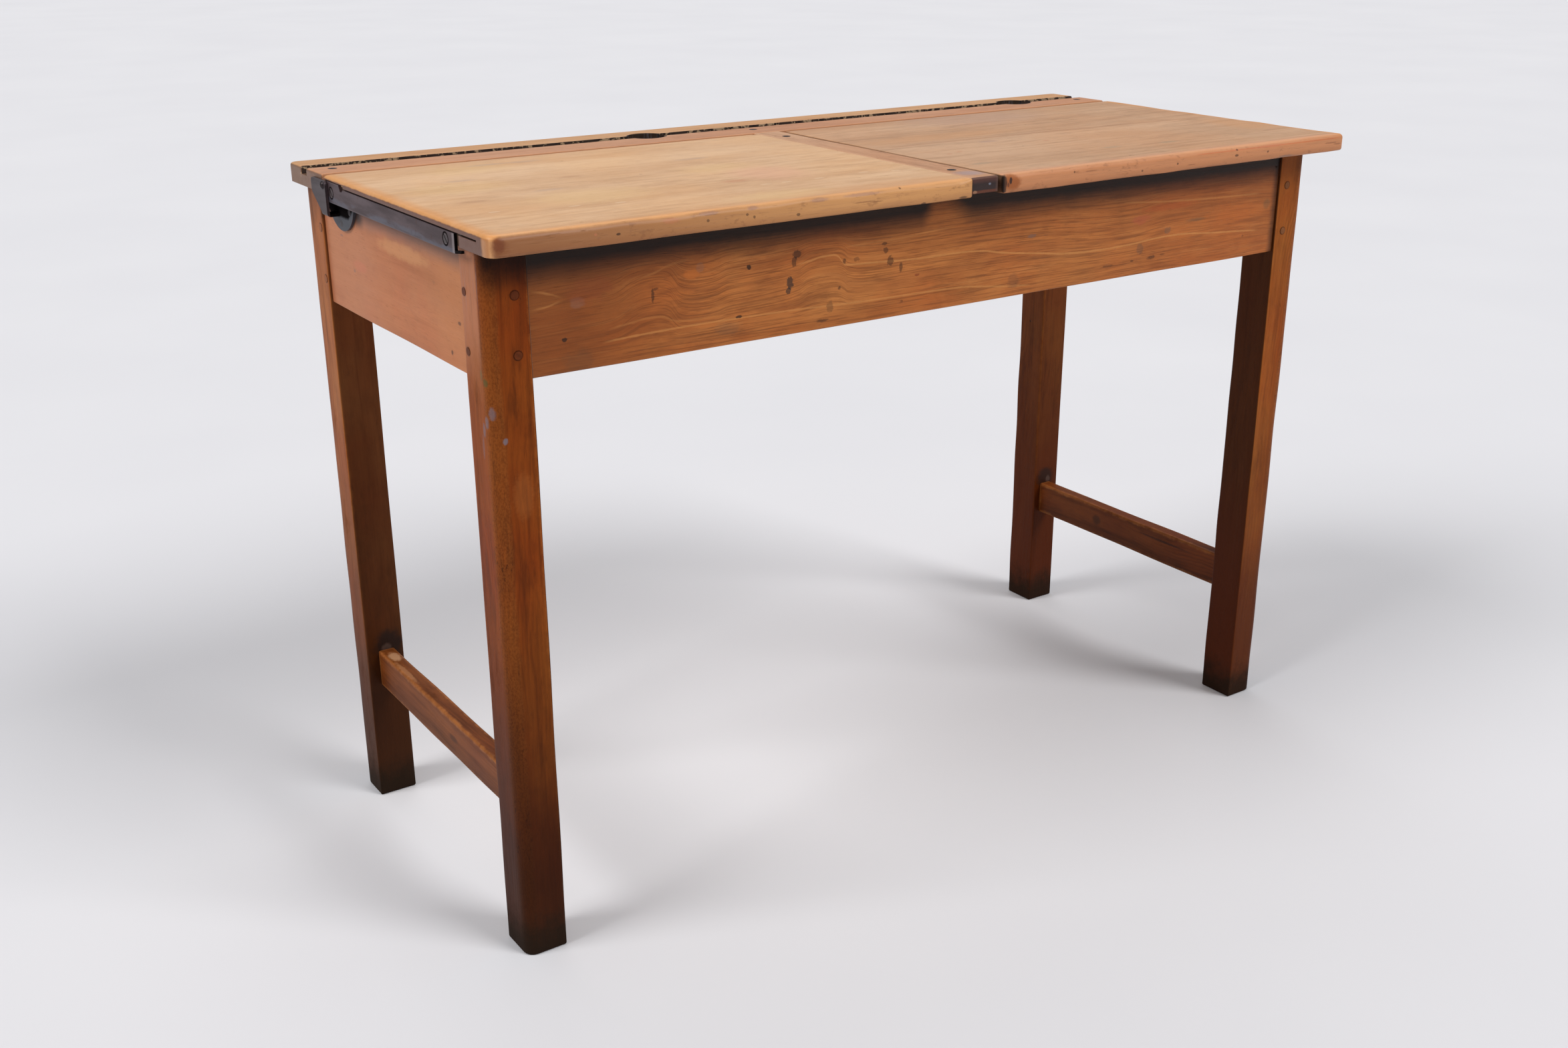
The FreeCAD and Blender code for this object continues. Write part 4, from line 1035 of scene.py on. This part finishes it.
lid_noses = {
    "left": [
        (-557, 749, 13, 11, 0.5, tone(122, 66, 32)), (-551, 752, 5, 7, 0.65, tone(112, 54, 26)),
        (-435, 749, 2.2, 1.2, 0.8, brown_grime_and_shade), (-458, 751, 1.4, 1.2, 0.55, reddish),
        (-341, 751, 1.6, 1.4, 0.6, brown_grime_and_shade),
        (-298, 752, 1.6, 1.2, 0.6, brown_grime_and_shade), (-290, 749, 1.4, 1.4, 0.6, brown_grime_and_shade),
        (-240, 746, 2.2, 1.4, 0.65, brown_grime_and_shade), (-116, 759, 1.6, 1.2, 0.6, brown_grime_and_shade),
        (-380, 755, 9, 2.4, 0.4, reddish), (-340, 757.5, 10, 2, 0.45, smudge_purple),
        (-291, 757.5, 6, 2, 0.45, smudge_purple), (-215, 757.5, 10, 2, 0.45, smudge_purple),
        (-162, 757.5, 22, 1.6, 0.45, smudge_purple), (-162, 750, 12, 0.6, 0.5, line_brown),
        (-147, 749, 8, 0.6, 0.5, line_brown), (-35, 742, 5, 1.4, 0.7, brown_grime_and_shade),
        (-87, 741, 3, 1.2, 0.7, brown_grime_and_shade),
    ],
    "right": [
        (28, 748, 10, 6, 0.5, tone(140, 82, 42)), (30, 752, 11, 8, 0.85, tone(152, 82, 34)),
        (28, 753, 1.9, 3.6, 0.92, tone(48, 26, 18)), (25, 749, 1.4, 2.4, 0.7, tone(84, 46, 28)),
        # painted shade on the rounded inner corner of the right lid
        (19.5, 750, 3.2, 10, 0.85, tone(50, 30, 22)),
        (118, 754, 1.5, 1.2, 0.65, brown_grime_and_shade), (220, 746, 1.5, 1.2, 0.65, brown_grime_and_shade),
        (275, 749, 1.5, 1.2, 0.65, brown_grime_and_shade), (372, 756, 1.8, 1.2, 0.65, brown_grime_and_shade),
        (371, 750, 3, 1.5, 0.7, brown_grime_and_shade), (424, 750, 1.6, 1.3, 0.65, brown_grime_and_shade),
        (142, 753, 8, 0.6, 0.5, line_brown), (297, 746, 6, 0.6, 0.5, line_brown),
        (428, 756, 22, 2, 0.4, reddish), (457, 742, 12, 1.6, 0.5, tone(120, 96, 84)),
        (536, 751, 11, 1.0, 0.45, line_brown), (548, 749, 7, 1.0, 0.45, line_brown),
    ],
}
nose_tones = {"left": (tone(126, 70, 32), tone(202, 144, 86)),
              "right": (tone(198, 128, 74), tone(196, 128, 82))}
print("marks on the lids:", {side: len(lid_tops[side] + lid_noses[side]) for side in lid_tops})


# %% Marks of a lid
def lid_marks(side):
    """The marks of one lid: its front edge, its ends, its back edge and its top, with painted shade in
    the iron's pocket and beside the strip.
    """
    def marks(f, colour, gloss, dirt_and_shade_tone):
        x, y, z = f.parts(f.place)
        away = f.maths("ABSOLUTE", x)
        colour = top_spots(f, colour, lid_tops[side])
        if side == "right":
            joint = [(0.030, -0.036), (0.25, -0.038), (0.40, -0.044), (0.55, -0.052)]
            line = drawn_line(f, x, y, joint, 0.006)
            colour = f.lay(line, 0.4, colour, brownish)
        band = torn(f, y, 0.03, 0.01, -0.236, -0.248)
        colour = f.lay(band, 0.35, colour, orange if side == "left" else tone(210, 148, 112))
        rim = f.times(torn(f, away, 0.03, 0.006, 0.5420, 0.5570), f.ramp(z, 0.7545, 0.7565))
        colour = f.lay(rim, 0.6, colour, tone(216, 142, 66))

        crown = f.within(y, (-0.2470, -0.2500), (-0.2560, -0.2535))
        crown_tone = tone(224, 158, 96) if side == "left" else tone(222, 156, 112)
        colour = f.lay(crown, 0.5, colour, crown_tone)
        nose = torn(f, y, 0.01, 0.0006, -0.2530, -0.2568)
        across = f.ramp(x, -0.60, -0.12)
        nicks = f.cloud(f.place, (60.0, 60.0, 110.0), 4.0, 0.7)
        colour = f.lay(nose, 0.85, colour, f.mix(across, *nose_tones[side]))
        colour = f.lay(f.times(nose, f.ramp(nicks, 0.58, 0.68)), 0.35, colour, line_brown)
        under = f.times(nose, torn(f, z, 0.01, 0.001, 0.7500, 0.7420))
        colour = f.lay(under, 0.35, colour, tone(134, 78, 42))
        fine = f.ramp(f.cloud(f.place, (20.0, 500.0, 500.0), 3.0, 0.6), 0.5, 0.64)
        colour = f.lay(f.times(nose, fine), 0.25, colour, brownish)
        if side == "right":
            line = drawn_line(f, x, z, [(0.30, 0.7560), (0.43, 0.7558), (0.558, 0.7562)], 0.0011)
            colour = f.lay(f.times(line, nose), 0.45, colour, tone(190, 92, 46))
        colour = nose_spots(f, colour, lid_noses[side])

        end = f.times(f.ramp(away, 0.5572, 0.5588), torn(f, z, 0.01, 0.001, 0.7577, 0.7562))
        behind = torn(f, y, 0.01, 0.003, -0.244, -0.238)
        colour = f.lay(end, 0.6, colour, tone(158, 98, 58))
        colour = f.lay(f.times(end, behind), 0.88, colour, tone(88, 58, 52))
        # painted shade in the iron's pocket at the outer end
        let_in = f.within(away, (0.5560, 0.5566), (0.5592, 0.5584))
        let_in = f.times(let_in, f.times(f.ramp(z, 0.7535, 0.7529), f.ramp(y, -0.232, -0.230)))
        colour = f.lay(let_in, 0.92, colour, black_grime_and_shade)
        back = torn(f, y, 0.01, 0.001, 0.1440, 0.1475)
        colour = f.lay(back, 0.65, colour, tone(146, 96, 70))
        # painted shade on the side beside the strip, turning black in the gap towards the front
        reach = 0.0235 if side == "left" else 0.0195
        inner = f.times(f.ramp(away, reach + 0.001, reach), f.ramp(z, 0.7594, 0.758))
        inner_tone = f.mix(f.ramp(y, -0.19, -0.235), tone(96, 64, 52), tone(12, 8, 7))
        return f.lay(inner, 0.85, colour, inner_tone), gloss

    return marks


print("marks for the lids ready")

# %% [markdown]
# ## Marks on the fixed boards
# Ink, chalk and dust have gone black in the pen groove, and pale flecks show where its edge is chipped.
# The inkwell holes are black with painted shade inside, streaked grey. The strip between the lids is dark
# at its front end, where the hands that lift the lids rub past it, and painted shade darkens its sides.

# %% Marks of the fixed boards
hole_places, hole_y = (-0.140, 0.442), 0.2085
strip_chip_and_glint = [
    # a pale chip low on the left of the front end, and a painted grey-blue glint right of its middle
    ((-0.0175, -0.2545, 0.7450), (0.0028, 0.004, 0.0016), tone(176, 130, 96)),
    ((0.002, -0.2545, 0.7520), (0.0016, 0.004, 0.0011), tone(134, 138, 152)),
]


def rear_board_marks(f, colour, gloss, dirt_and_shade_tone):
    """Paler rims along the groove, dull ends, the black groove and the holes, black with painted shade
    and streaked grey.
    """
    x, y, z = f.parts(f.place)
    ragged_y = f.plus(y, rag(f, 0.01, 0.0015))
    colour = f.lay(f.ramp(ragged_y, 0.2180, 0.2210), 0.45, colour, tone(212, 160, 102))
    colour = f.lay(f.ramp(ragged_y, 0.1990, 0.1960), 0.35, colour, tone(204, 140, 104))
    colour = top_spots(f, colour, [
        (-245, 243, 12, 4, 0.4, greyish), (265, 248, 16, 3, 0.45, brownish),
        (-420, 236, 14, 4, 0.35, brownish), (90, 176, 24, 4, 0.35, brownish),
    ])
    end = f.ramp(f.maths("ABSOLUTE", x), 0.5585, 0.5597)
    colour = f.lay(end, 0.85, colour, tone(104, 80, 68))
    groove = f.within(ragged_y, (0.1982, 0.1996), (0.2194, 0.2180))
    groove = f.times(f.times(groove, f.ramp(z, 0.7505, 0.7525)), f.ramp(end, 0.6, 0.3))
    holes = None
    for hole_x in hole_places:
        from_hole = f.vector("SUBTRACT", f.place, (hole_x, hole_y, 0.0))
        away = f.length(f.vector("MULTIPLY", from_hole, (1.0, 1.0, 0.0)))
        hole = torn(f, away, 0.01, 0.0015, 0.0246, 0.0234)
        holes = hole if holes is None else f.maths("MAXIMUM", holes, hole)
    # painted shade inside the inkwell holes, black with grey streaks
    streaks = f.ramp(f.cloud(f.place, (240.0, 240.0, 40.0), 4.0, 0.7), 0.5, 0.7)
    inside_tone = f.lay(streaks, 0.55, black_grime_and_shade, tone(92, 90, 100))
    colour = f.lay(groove, 0.95, colour, black_grime_and_shade)
    flecks = f.within(y, (0.2166, 0.2174), (0.2196, 0.2186))
    flecks = f.times(flecks, f.ramp(f.cloud(f.place, (110.0, 110.0, 110.0), 3.0, 0.7), 0.5, 0.58))
    colour = f.lay(flecks, 0.6, colour, tone(222, 186, 146))
    colour = f.lay(holes, 0.95, colour, inside_tone)
    return colour, f.plus(gloss, f.times(groove, 0.3))


def strip_marks(f, colour, gloss, dirt_and_shade_tone):
    """A pale rubbed spot near the front, painted shade on the sides, and the dark front end with a chip
    and a painted glint.
    """
    x, y, z = f.parts(f.place)
    colour = top_spots(f, colour, [(-2, -226, 15, 13, 0.6, tone(156, 140, 144))])
    # painted shade on the sides, black in the gaps towards the front
    side = f.ramp(z, 0.7588, 0.757)
    side_tone = f.mix(f.ramp(x, -0.006, 0.0), tone(126, 86, 58), tone(92, 60, 52))
    side_tone = f.mix(f.ramp(y, -0.225, -0.246), side_tone, black_grime_and_shade)
    colour = f.lay(side, 0.75, colour, side_tone)
    end = torn(f, y, 0.01, 0.0012, -0.2512, -0.2528)
    end_tone = f.mix(torn(f, z, 0.01, 0.002, 0.752, 0.757), tone(32, 20, 24), tone(74, 40, 36))
    end_tone = f.mix(torn(f, z, 0.01, 0.001, 0.7470, 0.7455), end_tone, tone(96, 44, 22))
    end_tone = f.lay(f.ramp(x, 0.009, 0.0125), 0.7, end_tone, tone(88, 62, 54))
    colour = f.lay(end, 0.88, colour, end_tone)
    for centre, size, end_mark_tone in strip_chip_and_glint:
        colour = stain(f, colour, centre, size, 0.6, end_mark_tone, 0.2)
    return colour, gloss


print("marks for the fixed boards ready")

# %% [markdown]
# ## The top boards
# All the helpers meet here: each lid gets its worn shape, its wood and its marks. The rear board keeps
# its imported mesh, because its groove and holes are already crisp, and only takes a finish. The strip
# lies a quarter of a millimetre low, as it has shrunk a little more than the lids.

# %% Top boards
lid_choices = {
    "left": (-1, (tone(226, 186, 146), tone(212, 168, 126), tone(176, 132, 92)),
             dict(heart=(-0.06, -0.14), figure=0.2, streaks=0.3, dirt=0.22), 11),
    "right": (1, (tone(208, 166, 130), tone(194, 150, 113), tone(150, 112, 82)),
              dict(heart=(0.03, -0.12), figure=0.22, streaks=0.45, dirt=0.35), 12),
}
for side, (outer, tones, choices, seed) in lid_choices.items():
    lid = "lid_" + side
    piece = worn_lid(lid, side + "_lid", outer, seed * 10)
    wood = old_wood(lid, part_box(lid), "x", *tones, rings=100.0, wear=0.08, seed=float(seed), rough=0.44,
                    extra=lid_marks(side), **choices)
    dress(piece, wood)
wood = old_wood("rear_board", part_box("rear_board"), "x", tone(202, 156, 120), tone(186, 138, 102),
                tone(138, 92, 62), heart=(0.02, -0.1), rings=170.0, figure=0.25, streaks=0.4, wear=0.4,
                wear_tone=tone(206, 150, 100), dirt=0.4, seed=13.0, rough=0.46, extra=rear_board_marks)
finish_node("rear_board", wood)
low, high = (list(corner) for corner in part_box("centre_strip"))
high[2] -= 0.25 * millimetre
foot_end, foot_level = -0.2095, 0.743
piece = worn_bar("worn_centre_strip", low, high, "y", (1.6, 1.6, 0.5, 0.5), (1.8, 0.3), "frame",
                 ["centre_strip"], 140, uneven=0.08, foot=(foot_end, foot_level))
wood = old_wood("centre_strip", (low, high), "y", tone(204, 158, 122), tone(190, 142, 106),
                tone(138, 92, 62), heart=(0.01, -0.05), rings=190.0, figure=0.25, streaks=0.4,
                wear=0.2, dirt=0.3, seed=14.0, rough=0.46, extra=strip_marks)
dress(piece, wood)
print("top boards finished")

# %% [markdown]
# ## Pegs and the inside of the boxes
# The pegs are end grain that has drunk old varnish, so they are small dark discs. The inside has never
# been sanded: it is drier, duller and greyer.

# %% Pegs and compartments
def peg_marks(f, colour, gloss, dirt_and_shade_tone):
    """A little paler at the right, and nearly the leg's own tone on the back left leg."""
    x, y, z = f.parts(f.place)
    colour = f.lay(f.ramp(x, 0.0, 0.1), 0.25, colour, tone(176, 122, 76))
    faint = f.times(f.ramp(y, 0.1, 0.15), f.ramp(x, -0.4, -0.5))
    return f.lay(faint, 0.7, colour, tone(160, 98, 60)), gloss


for pegs, grain, seed in (("apron_pegs", "y", 15.0), ("rail_pegs", "x", 16.0)):
    wood = old_wood(pegs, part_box(pegs), grain, tone(118, 62, 28), tone(98, 48, 18), tone(54, 24, 8),
                    rings=600.0, figure=0.4, wear=0.0, dirt=0.4, seed=seed, gloss_level=0.1,
                    extra=peg_marks)
    finish_node(pegs, wood)
inside_nodes = [n for n in nodes if n.startswith(("floor_", "compartment"))]
for count, name in enumerate(inside_nodes):
    grain = "y" if name == "compartment_divider" else "x"
    wood = old_wood(name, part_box(name), grain, tone(196, 158, 116), tone(176, 134, 92),
                    tone(122, 84, 54), figure=0.3, streaks=0.5, wear=0.2, dirt=0.6,
                    seed=20.0 + count, rough=0.62, gloss_level=0.25)
    finish_node(name, wood)
print("inside finished:", len(inside_nodes))

# %% [markdown]
# ## Iron
# The straps and brackets are hand-finished iron under brown patina: nearly black in the corners, purple
# grey on the flats and bare at the edges. A metal with a rough, cloudy surface gives that, and the
# cloud's dark side is also its rusty side. The screws are the same iron, greasier.

# %% Iron
strap_screw_places, strap_screw_level = (-0.163, 0.12865), 0.7437


def old_iron(name, box, flat, deep, bare, rough=0.5, metal=0.55):
    """Patinated iron: a cloudy flat tone, a deep tone in its hollows and a bare tone on its edges.
    Painted shade blackens what lies between the strap and the bracket's foot, the ring round the strap's
    screws and the strap's cut end."""
    f = Finish(name)
    local, half = set_in_piece(f, box, "x")
    x, y, z = f.parts(f.place)
    away = f.maths("ABSOLUTE", x)

    # clouds of patina, a little rust, bare edges
    cloud = f.cloud(f.place, (46.0, 12.0, 60.0), 4.0, 0.6)
    fine = f.cloud(f.place, (700.0, 160.0, 700.0), 3.0, 0.6)
    colour = f.lay(f.ramp(cloud, 0.62, 0.36), 0.55, flat, deep)
    rust = f.ramp(f.cloud(f.place, 140.0, 4.0, 0.7), 0.58, 0.7)
    colour = f.lay(rust, 0.25, colour, tone(96, 58, 42))
    edge = f.plus(edge_distance(f, local, half), f.times(f.plus(cloud, -0.5), 0.002))
    colour = f.lay(f.ramp(edge, 0.0014, 0.0), 0.4, colour, bare)
    rust_and_painted_shade = f.times(rust, 0.1)

    # the strap: painted shade round its screws, a bluish foot, a pale front end and painted shade on its
    # cut end
    if name.startswith("lid_strap"):
        for screw_y in strap_screw_places:
            off = f.vector("SUBTRACT", f.place, (0.0, screw_y, strap_screw_level))
            off = f.length(f.vector("MULTIPLY", off, (0.0, 1.0, 1.0)))
            rust_and_painted_shade = f.maths("MAXIMUM", rust_and_painted_shade, f.times(f.ramp(off, 0.0074, 0.0062), 0.95))
        blue = f.times(torn(f, z, 0.01, 0.002, 0.7415, 0.7375), f.ramp(cloud, 0.44, 0.56))
        colour = f.lay(blue, 0.5, colour, tone(92, 98, 112))
        pale = f.times(torn(f, y, 0.01, 0.001, -0.1765, -0.1785), f.ramp(away, 0.5594, 0.5598))
        colour = f.lay(pale, 0.55, colour, tone(156, 144, 144))
        rust_and_painted_shade = f.maths("MAXIMUM", rust_and_painted_shade, f.ramp(y, -0.1822, -0.1824))

    # the bracket: its foot is grey below with the strap's painted shadow above, and painted shade
    # blackens its inside
    if name.startswith("hinge_bracket"):
        foot = f.ramp(away, 0.5515, 0.5505)
        level = f.plus(z, f.times(f.maths("MINIMUM", f.plus(y, -0.113), 0.0), 0.75))
        foot_shade = torn(f, level, 0.01, 0.0015, 0.7155, 0.7195)
        rust_and_painted_shade = f.times(foot, foot_shade)
        colour = f.lay(foot, 0.92, colour, tone(66, 69, 76))
        colour = f.lay(f.ramp(away, 0.5605, 0.5625), 0.55, colour, tone(58, 54, 56))
        inside = f.within(away, (0.5502, 0.5506), (0.5610, 0.5603))
        rust_and_painted_shade = f.maths("MAXIMUM", rust_and_painted_shade, inside)

    # rust and painted shade are dull as well as black
    clear_of_rust_and_shade = f.plus(f.times(rust_and_painted_shade, -1.0), 1.0)
    colour = f.lay(rust_and_painted_shade, 0.96, colour, tone(14, 10, 9))
    gloss = f.plus(f.plus(f.times(f.plus(cloud, -0.5), -0.3), rough), f.times(rust_and_painted_shade, 0.4))
    height = f.plus(f.times(cloud, 0.9), f.times(fine, 0.2))
    return f.skin(Base_Color=colour, Roughness=gloss, Metallic=f.times(clear_of_rust_and_shade, metal),
                  Specular_IOR_Level=f.times(clear_of_rust_and_shade, 0.4), Normal=f.bump(height, relief_depth))


print("iron finish ready")

# %% Straps, brackets, rivets and screws
strap_tones = tone(88, 71, 74), tone(56, 44, 46), tone(128, 114, 114)
rivet_tones = tone(44, 36, 38), tone(26, 20, 22), tone(120, 112, 112)
screw_tones = tone(50, 40, 44), tone(40, 32, 34), tone(120, 108, 104)
bright_screw_tones = tone(96, 84, 84), *screw_tones[1:]
iron_finishes = [
    (("lid_strap", "hinge_bracket"), strap_tones, dict()),
    (("hinge_rivet",), rivet_tones, dict(rough=0.36)),
    (("strap_screws",), bright_screw_tones, dict(rough=0.42, metal=0.75)),
    (("rear_board_screws", "centre_strip_screws", "bracket_screws", "bearer_nails",
      "centre_pivot_pin"), screw_tones, dict(rough=0.42, metal=0.75)),
]
iron_count = 0
for starts, tones, choices in iron_finishes:
    for name in [n for n in nodes if n.startswith(starts)]:
        finish_node(name, old_iron(name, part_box(name), *tones, **choices))
        iron_count += 1
print("iron pieces finished:", iron_count)

# %% [markdown]
# ## A plain studio
# A wide pale floor, a soft grey sky all round and three far lamps: two alike, from the left and from
# the front right, and a weak one from behind. Their wide spread gives soft shadows. The sum of them
# lights a surface that faces up at about 1, so a colour comes out as it is written.

# %% Floor and light
floor_size = 90.0
floor_mesh = bpy.data.meshes.new("floor")
corners = [(-1, -1, 0), (1, -1, 0), (1, 1, 0), (-1, 1, 0)]
floor_mesh.from_pydata([(x * floor_size, y * floor_size, z) for x, y, z in corners], [], [(0, 1, 2, 3)])
floor = bpy.data.objects.new("floor", floor_mesh)
bpy.context.scene.collection.objects.link(floor)
paper = Finish("floor_paper")
paper_cloud = paper.cloud(paper.place, 1.3, 3.0)
paper_tone = paper.mix(paper_cloud, tone(216, 215, 218), tone(224, 223, 225))
floor_mesh.materials.append(paper.skin(Base_Color=paper_tone, Roughness=0.85, Specular_IOR_Level=0.2))

world = bpy.data.worlds.new("studio")
world.use_nodes = True
world.node_tree.nodes["Background"].inputs[0].default_value = (0.93, 0.95, 1.0, 1.0)
world.node_tree.nodes["Background"].inputs[1].default_value = 0.3
bpy.context.scene.world = world


def lamp(name, around, up, strength, spread):
    """A far lamp: around is degrees from straight in front towards the right, up is degrees above
    level. The spread is the lamp's width as seen from the desk, as an angle."""
    light = bpy.data.lights.new(name, "SUN")
    light.energy = strength
    light.angle = spread
    holder = bpy.data.objects.new(name, light)
    bpy.context.scene.collection.objects.link(holder)
    turn, tilt = np.radians(around), np.radians(up)
    towards = Vector((np.sin(turn) * np.cos(tilt), -np.cos(turn) * np.cos(tilt), np.sin(tilt)))
    holder.matrix_world = Matrix.LocRotScale(towards * 4.0, towards.to_track_quat("Z", "Y"), None)
    return holder


lamp("right_lamp", 30.0, 42.0, 1.75, 0.45)
lamp("left_lamp", -95.0, 42.0, 1.75, 0.5)
lamp("back_lamp", 160.0, 50.0, 0.4, 0.7)
bpy.context.scene.view_settings.view_transform = "Standard"
print("studio ready")
